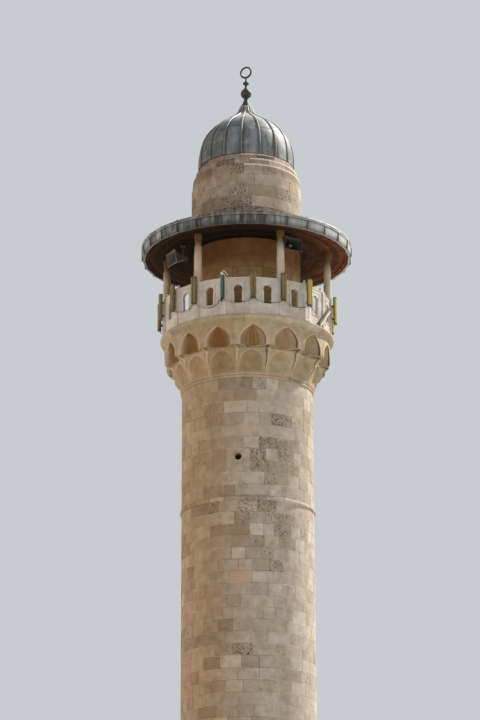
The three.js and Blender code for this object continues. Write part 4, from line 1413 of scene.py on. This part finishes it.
def domeSeams():
    # the seams that face the front are a little uneven, and the others share what is left
    front = domeLook["frontSeams"]
    gap = (front[0] + 360 - front[-1]) / domeLook["backGores"]
    return front + [front[-1] + gap * (i + 1) for i in range(domeLook["backGores"] - 1)]


def buildDome():
    look = domeLook
    path = smoothPath(domeProfile, look["rows"])
    seams = domeSeams()
    steps = look["steps"]
    draw = random.Random(121)
    tones = [draw.random() for _ in seams]
    laps = [look["lap"] + look["lapShift"].get(i, draw.uniform(-0.04, 0.04)) for i in range(len(seams))]
    rows = []
    for radius, height in look["foot"] + [(p.x, p.y) for p in path]:
        row = []
        for start, end, tone, lap in zip(seams, seams[1:] + [seams[0] + 360], tones, laps):
            # a dark band painted just under each lap, as its shadow
            onLap = 0.85 if lap - 0.035 < height < lap else 0.0
            out = radius - 0.012 + (0.008 if height < lap else 0.0)
            for i in range(steps):
                share = i / steps
                belly = 0.012 * math.sin(math.pi * share) * min(1.0, radius)
                grime = max(look["grime"].get(i, 0.0), onLap)
                row.append((onCircle(out + belly, start + (end - start) * share, height), tone, grime))
        rows.append(row)
    for at, height in ((0, look["foot"][0][1]), (len(rows) + 1, domeProfile[-1][1] + 0.0001)):
        rows.insert(at, [(onCircle(0.0, 0, height), 0.5)] * len(seams) * steps)
    stock = Stock("tone", "grime")
    stock.addCells(rows)
    shell = stock.build("domeShell", domeLead, 35, 0.0001)
    lines = [[onCircle(p.x + 0.002, bearing, p.y + 0.002) for p in path] for bearing in seams]
    rolls = roll("domeRolls", lines, look["roll"], domeLead)
    # the rolls are painted paler, as their highlight
    setField(rolls.data, "dust", [0.3] * len(rolls.data.vertices))
    fit(joinPieces("domeCovering", [shell, rolls]), "lead_sheet", "dome")


buildDome()


def agedBronze(name):
    # weathered bronze finial, brown with green-grey patina
    material, tree, place = startMaterial(name)
    patina = addNode(tree, "ShaderNodeTexNoise", {"Scale": 9.0, "Detail": 5.0}, {"Vector": place})
    tone = addNode(tree, "ShaderNodeValToRGB",
                   {"stops": [(0.35, "#20221e"), (0.55, "#373a34"), (0.72, "#565a50")]}, {"Fac": patina})
    bump = addNode(tree, "ShaderNodeBump", {"Strength": 0.3, "Distance": 0.004}, {"Height": patina})
    finishMaterial(tree, {"Metallic": 0.3, "Roughness": 0.6}, {"Base Color": tone, "Normal": bump})
    return material


finialBronze = agedBronze("patinatedBronze")

# a ball has its centre, its radius, its half height, the angles where it starts and ends, and
# its steps
finialLook = {"foot": [(0, 0), (0.15, 0), (0.145, 0.02), (0.132, 0.06), (0.105, 0.1), (0.085, 0.15),
                       (0.066, 0.21), (0.052, 0.27)],
              "ball": (27.69, 0.148, 0.138, -68, 45, 12), "smallBall": (28.0, 0.085, 0.052, -66, 66, 10),
              "neck": [(0.06, 27.835), (0.04, 27.865), (0.034, 27.885), (0.03, 27.93)],
              "tip": [(0.024, 28.06)], "ringTurn": -18, "ringThick": 0.024}


def ballArc(centre, radius, tall, start, end, steps):
    # one side of a ball, between two heights given as angles
    angles = [math.radians(start + (end - start) * i / steps) for i in range(steps + 1)]
    return [(radius * math.cos(angle), centre + tall * math.sin(angle)) for angle in angles]


def buildFinial():
    look = finialLook
    low, high = heights("finial")
    profile = [(radius, low + rise) for radius, rise in look["foot"]]
    profile += ballArc(*look["ball"]) + look["neck"] + ballArc(*look["smallBall"])
    profile += look["tip"] + [(0.022, high), (0, high)]
    fit(turnedPiece("finialSpire", profile, 32, finialBronze), "finial_bronze", "finial")

    ringLow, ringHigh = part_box("finial_ring")
    centre = (ringLow + ringHigh) / 2
    outer = (ringHigh.z - ringLow.z) / 2
    turn = Matrix.Rotation(math.radians(look["ringTurn"]), 3, "Z")
    around, sides = 48, 10
    rows = []
    for i in range(around):
        angle = 2 * math.pi * i / around - math.pi / 2
        thick = look["ringThick"] + 0.003 * max(0.0, -math.sin(angle)) ** 2  # heaviest at its foot
        row = []
        for k in range(sides):
            b = 2 * math.pi * k / sides
            out = outer - thick + thick * math.cos(b)
            corner = Vector((out * math.cos(angle), thick * math.sin(b), out * math.sin(angle)))
            row.append(centre + turn @ corner)
        rows.append(row)
    stock = Stock()
    stock.addRows(rows, looped=True)
    fit(stock.build("finialCrescentRing", finialBronze), "finial_bronze", "finial_ring")


buildFinial()
print("dome and finial raised")


# Fittings

def paintedSheet(name, tones, rough=0.5, sunnySide=None):
    # sheet metal or moulded shell with old paint: dusty, chalked, stained by rain; the optional
    # colour is painted on the sunny side as light, and the inside field darkens it, as painted shade within
    # the horns
    material, tree, place = startMaterial(name)
    streak = addNode(tree, "ShaderNodeMapping", {"Scale": (1.0, 1.0, 0.3)}, {"Vector": place})
    dust = addNode(tree, "ShaderNodeTexNoise", {"Scale": 12.0, "Detail": 5.0, "Roughness": 0.65},
                   {"Vector": streak})
    tone = addNode(tree, "ShaderNodeValToRGB", {"stops": tones}, {"Fac": dust})
    sides = addNode(tree, "ShaderNodeSeparateXYZ", links={0: place}).outputs
    # painted light: the sunny side turns to the optional colour
    sunnyMask = addNode(tree, "ShaderNodeMapRange", {"span": (1.1, 2.1, 0.0, 0.85)}, {"Value": sides["X"]})
    layers = [(sunnyMask, sunnySide)] if sunnySide else []
    colour = layColours(tree, tone, layers + [(readFields(tree, "inside")["inside"], "#17140f")])
    bump = addNode(tree, "ShaderNodeBump", {"Strength": 0.2, "Distance": 0.002}, {"Height": dust})
    finishMaterial(tree, {"Roughness": rough}, {"Base Color": colour, "Normal": bump})
    return material


hornPaint = paintedSheet("chalkedHornPaint", [(0.3, "#4b4339"), (0.55, "#63594c"), (0.75, "#7d7263")], 0.6)
hornThroat = paintedSheet("hornThroatPaint", [(0.3, "#5a5449"), (0.7, "#7c7568")], 0.5)
lampCover = paintedSheet("yellowedLampCover", [(0.3, "#5c4e28"), (0.5, "#716031"), (0.72, "#8c7c4c")], 0.4,
                         sunnySide="#c9b64c")
lampTray = paintedSheet("dustyLampTray", [(0.3, "#3a3325"), (0.55, "#544a36"), (0.75, "#6d644c")], 0.6)
lampWhite = paintedSheet("dustyWhiteEnamel", [(0.3, "#b0a999"), (0.55, "#d2ccbf"), (0.75, "#e4dfd4")], 0.4)
lampTan = paintedSheet("rustedBatten", [(0.3, "#4f4130"), (0.55, "#7c6b52"), (0.75, "#a08e72")], 0.6)
lampTeal = paintedSheet("fadedTealTube", [(0.3, "#24443b"), (0.55, "#3d6355"), (0.75, "#5f8070")], 0.4)
cableSheath = paintedSheet("perishedRubber", [(0.3, "#241f1b"), (0.7, "#3b342c")], 0.7)


def roundedFrame(half, tall, corner, steps=5):
    # a rounded rectangle, counter-clockwise, as (x, z) pairs
    outline = []
    for cx, cz, start in ((half - corner, tall - corner, 0), (-half + corner, tall - corner, 90),
                          (-half + corner, -tall + corner, 180), (half - corner, -tall + corner, 270)):
        for i in range(steps + 1):
            angle = math.radians(start + 90 * i / steps)
            outline.append((cx + corner * math.cos(angle), cz + corner * math.sin(angle)))
    return outline


# a horn has its name, bearing and node, how dark its inside is painted as shade, and how far it nods
hornLook = {"centre": 22.58, "back": 1.88, "length": 0.36,
            "places": [("hornFrontLeft", -56.0, "loudspeaker_front_left", 0.35, 10.0),
                       ("hornFrontRight", 38.6, "loudspeaker_front_right", 0.95, -1.0),
                       ("hornBack", 162.0, "loudspeaker_back", 0.9, 5.0)]}


def loft(stations):
    # rows of rounded oblongs: (distance, half width, half height, corner) each
    return [[(x, y, z) for x, z in roundedFrame(half, tall, corner)] for y, half, tall, corner in stations]


def hornSpeaker(name, bearing, node, shade, tilt):
    # a horn loudspeaker: a flared bell with an oblong mouth, nodding a little on its strap;
    # shade is how dark its inside is painted, as shade, its lip a little less; the throat is
    # painted paler the other way round, as a highlight, and the driver and the strap are darkened
    look = hornLook
    centre, back, length = look["centre"], look["back"], look["length"]
    place = Matrix.Translation((0, 0, centre)) @ Matrix.Rotation(math.radians(bearing), 4, "Z")
    pivot = Matrix.Translation((0, -back, 0))
    nod = pivot @ Matrix.Rotation(math.radians(tilt), 4, "X") @ pivot.inverted()

    def put(rows, tilted=True):
        turn = place @ nod if tilted else place
        return [[turn @ Vector((x, -(back + y), z)) for x, y, z in row] for row in rows]

    outer = [(0.0, 0.078, 0.06, 0.03), (0.08, 0.105, 0.074, 0.03), (0.18, 0.15, 0.1, 0.03),
             (0.27, 0.2, 0.132, 0.03), (0.33, 0.245, 0.16, 0.03), (length - 0.014, 0.266, 0.173, 0.03),
             (length - 0.003, 0.272, 0.176, 0.03), (length, 0.268, 0.172, 0.03),
             (length - 0.002, 0.252, 0.156, 0.025)]
    inner = [(y - 0.006, h - 0.016, t - 0.016, c - 0.008) for y, h, t, c in reversed(outer[1:-3])]
    rows = put(loft(outer + inner))
    darkness = [0.0] * (len(outer) - 4) + [shade - 0.35] * 4 + [shade] * len(inner)
    stock = Stock("inside")
    stock.addRows(rows, capped=True, inside=[dark for dark in darkness for _ in rows[0]])
    driver = [(-0.12, 0.05, 0.05, 0.048), (-0.11, 0.074, 0.074, 0.072), (-0.02, 0.076, 0.076, 0.074),
              (0.002, 0.07, 0.058, 0.05)]
    stock.addRows(put(loft(driver)), capped=True, inside=0.5)
    # the strap, and its plate under the boards
    for half, low, out, inn in ((0.026, 0.04, 0.02, -0.005), (0.06, None, 0.06, -0.05)):
        top = soffitAt(back + out) - centre - 0.001
        rows = [[(x, y, z) for x, z in oblong(half, low or top - 0.012, top)] for y in (inn, out)]
        stock.addRows(put(rows, False), capped=True, inside=0.6)
    throat = Stock("inside")
    cone = [(0.07, 0.05, 0.04, 0.035), (0.2, 0.055, 0.045, 0.04), (0.225, 0.045, 0.035, 0.03),
            (0.235, 0.02, 0.015, 0.014)]
    throat.addRows(put(loft(cone)), capped=True, inside=1.1 - shade)
    pieces = [stock.build("bell", hornPaint, 35), throat.build("throat", hornThroat, 35)]
    fit(joinPieces(name, pieces), "horn_paint", node)


for horn in hornLook["places"]:
    hornSpeaker(*horn)

lampLook = {"low": 20.96, "high": 21.69, "face": 2.285, "depth": 0.094, "half": 0.074, "post": 2.236,
            "foot": 2.32, "brackets": (21.08, 21.44), "bare": -10, "droop": {-30: 0.07}, "cable": 0.008,
            "thinCable": 0.005}


def prism(stock, section, low, high, **values):
    # an upright bar: an (x, outwards) section carried from one height to another
    stock.addRows([[Vector((x, -out, z)) for x, out in section] for z in (low, high)], capped=True, **values)


def addBrackets(stock, reach):
    # the two arms that hold a lamp off its post
    for height in lampLook["brackets"]:
        prism(stock, oblong(0.018, lampLook["post"], reach), height, height + 0.045)


def lampItems():
    look = lampLook
    low, high, near, half = look["low"], look["high"], look["face"], look["half"]
    deep = look["depth"] - 0.036
    middle = near + 0.036
    tray = Stock()
    prism(tray, [(-half + 0.008, near), (-half, near + 0.01), (-half, middle), (half, middle),
                 (half, near + 0.01), (half - 0.008, near)], low + 0.012, high - 0.012)
    addBrackets(tray, near + 0.004)
    angles = [math.pi * i / 10 for i in range(11)]
    cap = [(half * math.cos(a), middle + deep * math.sin(a)) for a in angles]
    for foot in (low, high - 0.03):
        prism(tray, cap + [(-half, near + 0.004), (half, near + 0.004)], foot, foot + 0.03)
    section = []  # two lobes, one for each tube, with a valley between them
    lobe = half * 0.47
    for side, start, end in ((1, 0, 145), (-1, 35, 180)):
        for i in range(9):
            angle = math.radians(start + (end - start) * i / 8)
            section.append((side * lobe + lobe * math.cos(angle), middle + deep * 0.95 * math.sin(angle)))
    cover = Stock()
    prism(cover, section, low + 0.03, high - 0.03)
    return tray.build("tray"), cover.build("cover", None, 50)


def bareTube(bearing):
    # the bare tube at the front, with a pale cap, a bent arm and its holder hanging
    face = lampLook["face"]
    x, y, _ = onCircle(face + 0.03, bearing, 0)
    tube = [(0, 21.0), (0.03, 21.0), (0.03, 21.62), (0.03, 21.63), (0, 21.63)]
    cap = [(0, 21.62), (0.034, 21.62), (0.036, 21.64), (0.032, 21.68), (0.018, 21.689), (0, 21.69)]
    socket = [(0, 20.9), (0.022, 20.905), (0.024, 20.96), (0.012, 20.985), (0, 20.985)]
    strip = Stock()
    prism(strip, oblong(0.05, face - 0.012, face), 20.98, 21.62)
    addBrackets(strip, face)
    holder = strip.build("backStrip", lampTray)
    holder.data.transform(Matrix.Rotation(math.radians(bearing), 4, "Z"))
    bend = [(0, 0, 21.66), (0.01, 0, 21.70), (0.04, 0.02, 21.735), (0.09, 0.05, 21.70), (0.14, 0.08, 21.63)]
    arm = smoothPath([(x + dx, y + dy, z) for dx, dy, z in bend], 4)
    return [turnedPiece("tube", tube, 14, lampTeal, (x, y)), turnedPiece("cap", cap, 14, lampWhite, (x, y)),
            holder, roll("arm", [arm], 0.011, lampWhite),
            turnedPiece("socket", socket, 12, cableSheath, (x - 0.012, y))]


def cableBetween(start, end, droop):
    # a slack lead from the foot of a lamp down to the sill of the opening beside it and up
    # to the next lamp
    foot, height = lampLook["foot"], lampLook["low"] + 0.005
    middle = (start + end) / 2
    sill = parapetLook["openSill"] - droop
    edge = math.degrees(parapetLook["openHalf"] / parapetLook["face"])
    points = [onCircle(foot, end, height), onCircle(foot - 0.01, end - 1.6, height - 0.03),
              onCircle(2.25, (end + middle + edge) / 2, (height + sill) / 2 - 0.015),
              onCircle(2.215, middle + edge, sill + 0.012), onCircle(2.212, middle, sill + 0.008),
              onCircle(2.215, middle - edge, sill + 0.014),
              onCircle(2.25, (start + middle - edge) / 2, (height + sill) / 2 - 0.005),
              onCircle(foot - 0.01, start + 1.6, height - 0.025), onCircle(foot, start, height)]
    return smoothPath(points, 5)


def buildLamps():
    strings = {"Front": [-50, -30, -10, 10, 30, 50], "Right": [90, 110, 130, 150, 170],
               "Left": [-170, -150, -130, -110, -90, -70]}
    look = lampLook
    bare = look["bare"]
    for index, (side, bearings) in enumerate(strings.items()):
        boxed = [b for b in bearings if b != bare]
        tray, cover = lampItems()
        pieces = [setRoundAxis("trays", tray, boxed, lampTray, 131 + index),
                  setRoundAxis("covers", cover, boxed, lampCover, 141 + index, 50)]
        if bare in bearings:
            pieces += bareTube(bare)
        cables = [cableBetween(a, b, look["droop"].get(a, 0.0)) for a, b in zip(bearings, bearings[1:])]
        if side == "Front":
            loose = ((50, 2.32, 20.965), (54, 2.335, 20.85), (58.5, 2.31, 20.71), (61.0, 2.285, 20.60))
            cables.append(smoothPath([onCircle(radius, b, z) for b, radius, z in loose], 5))
        thick = [path[:len(path) // 2 + 1] for path in cables]
        thin = [path[len(path) // 2:] for path in cables]
        pieces += [roll("cables", thick, look["cable"], cableSheath, 6),
                   roll("thinCables", thin, look["thinCable"], cableSheath, 6)]
        fit(joinPieces(f"lampString{side}", pieces), "lamp_housing", f"lamp_string_{side.lower()}")


buildLamps()


def buildFallenLamp():
    # a twin lamp off its brackets, leaning against the parapet: a rusted batten and its
    # white cover side by side
    foot = onCircle(2.263, 61.7, 20.575)
    head = onCircle(2.306, 74.0, 21.115)
    length = (head - foot).length
    along = (head - foot).normalized()
    across = onCircle(1.0, 90 + 68, 0.0)
    across = (across - along * across.dot(along)).normalized()
    place = Matrix((across, along.cross(across), along)).transposed().to_4x4()
    place.translation = foot
    batten = Stock("inside")
    prism(batten, [(-0.056, -0.03), (-0.006, -0.03), (-0.006, 0.02), (-0.014, 0.03), (-0.048, 0.03),
                   (-0.056, 0.02)], 0.004, length - 0.004)
    # the end caps are darkened by half
    for low in (0.0, length - 0.045):
        prism(batten, oblong(0.058, -0.031, 0.0), low, low + 0.045, inside=0.5)
    cover = Stock("inside")
    angles = [math.radians(a) for a in range(-180, 180, 30)]
    prism(cover, [(0.03 + 0.028 * math.cos(a), 0.004 + 0.028 * math.sin(a)) for a in angles], 0.0, length)
    pieces = [batten.build("batten", lampTan), cover.build("cover", lampWhite, 40)]
    for piece in pieces:
        piece.data.transform(place)
    fit(joinPieces("fallenLampBatten", pieces), "lamp_tube", "fallen_lamp")


buildFallenLamp()
print("fittings hung")


# The foot of the tower, which stands square and turns eight-sided under the shaft

baseLook = {"half": 2.2, "top": 4.2, "topHalf": 1.85, "transitionTop": 5.9, "doorHalf": 0.4, "doorTop": 2.05,
            "least": 0.12, "joint": 0.009, "proud": 0.007, "depth": 0.06, "arris": 0.008}


def facingBlock(stock, corners, outward, depth, arris, **values):
    # a block whose face has four corners, counter-clockwise from outside
    middle = sum(corners, Vector()) / 4
    rows = [[p + (middle - p).normalized() * arris * 1.4 for p in corners],
            [p - outward * arris for p in corners], [p - outward * depth for p in corners]]
    stock.addRows(rows, capped=True, **values)


def flatCourse(stock, draw, lowLine, highLine, lengths, cut=None):
    # one course on one plane face, between two level lines of two ends each; cut is half the
    # width of a doorway in its middle
    look = baseLook
    (a, b), (c, d) = lowLine, highLine
    outward = ((b - a).cross(c - a)).normalized()
    whole = (b - a).length
    if whole < look["least"]:
        return
    side = (whole / 2 - cut) / whole if cut else 1.0
    for start, end in ((0.0, side), (1 - side, 1.0)) if cut else ((0.0, 1.0),):
        pieces = []
        while sum(pieces) < (end - start) * whole:
            pieces.append(draw.uniform(*lengths))
        t = start
        for piece in pieces:
            u = t + piece * (end - start) / sum(pieces)
            corners = [a.lerp(b, t), a.lerp(b, u), c.lerp(d, u), c.lerp(d, t)]
            middle = sum(corners, Vector()) / 4
            proud = look["proud"] + draw.uniform(-0.003, 0.003)
            corners = [p + (middle - p).normalized() * look["joint"] + outward * proud for p in corners]
            kind = draw.random()
            facingBlock(stock, corners, outward, look["depth"], look["arris"],
                        tone=min(max(draw.gauss(0.45, 0.2), 0), 1),
                        pitted=draw.uniform(0.4, 1) if kind < 0.2 else 0.0,
                        blush=0.5 if 0.2 < kind < 0.24 else 0.0)
            t = u


def buildFoot():
    look = baseLook
    half, top, doorTop = look["half"], look["top"], look["doorTop"]
    draw = random.Random(161)
    stock = Stock("tone", "pitted", "blush")
    turns = [Matrix.Rotation(math.radians(90 * side), 3, "Z") for side in range(4)]
    for low, high in evenCourses(0.0, doorTop, 0.34) + evenCourses(doorTop, top, 0.31):
        for side, turn in enumerate(turns):
            lines = [[turn @ Vector((x, -half, z)) for x in (-half, half)] for z in (low, high)]
            cut = look["doorHalf"] + 0.004 if side == 2 and high <= doorTop + 0.01 else None
            flatCourse(stock, draw, *lines, (0.34, 0.7), cut)
    corner = look["topHalf"] * math.tan(math.pi / 8)
    for low, high in evenCourses(top, look["transitionTop"], 0.3):
        for turn in turns:
            lines, slants = [], []
            for z in (low, high):
                share = (z - top) / (look["transitionTop"] - top)
                out = half + (look["topHalf"] - half) * share
                reach = half + (corner - half) * share
                lines.append([turn @ Vector((-reach, -out, z)), turn @ Vector((reach, -out, z))])
                slants.append([turn @ Vector((reach, -out, z)), turn @ Vector((out, -reach, z))])
            flatCourse(stock, draw, *lines, (0.34, 0.66))
            flatCourse(stock, draw, *slants, (0.34, 0.66))
    fit(stock.build("footAshlar", wallStone), "limestone")
    giveCore(wallMortar, "base_front_left", "base_front_right", "base_back_left", "base_back_right",
             "base_door_lintel", "base_transition")


buildFoot()


def pavingStone(name):
    # worn limestone flags, 0.4 m square, laid dry
    material, tree, place = startMaterial(name)
    flags = addNode(tree, "ShaderNodeTexBrick",
                    {"Color1": "#9a8e7b", "Color2": "#b0a490", "Mortar": "#5f5548", "Scale": 1.0,
                     "Mortar Size": 0.006, "Brick Width": 0.5, "Row Height": 0.4}, {"Vector": place})
    wear = addNode(tree, "ShaderNodeTexNoise", {"Scale": 8.0, "Detail": 5.0}, {"Vector": place})
    worn = layColours(tree, flags, [(wear, "#9b8d78", "MULTIPLY")])
    bump = addNode(tree, "ShaderNodeBump", {"Strength": 0.4, "Distance": 0.004}, {"Height": wear})
    finishMaterial(tree, {"Roughness": 0.85}, {"Base Color": worn, "Normal": bump})
    return material


giveCore(pavingStone("wornFlagstones"), "ground_floor", "gallery_floor")
print("foot laid")
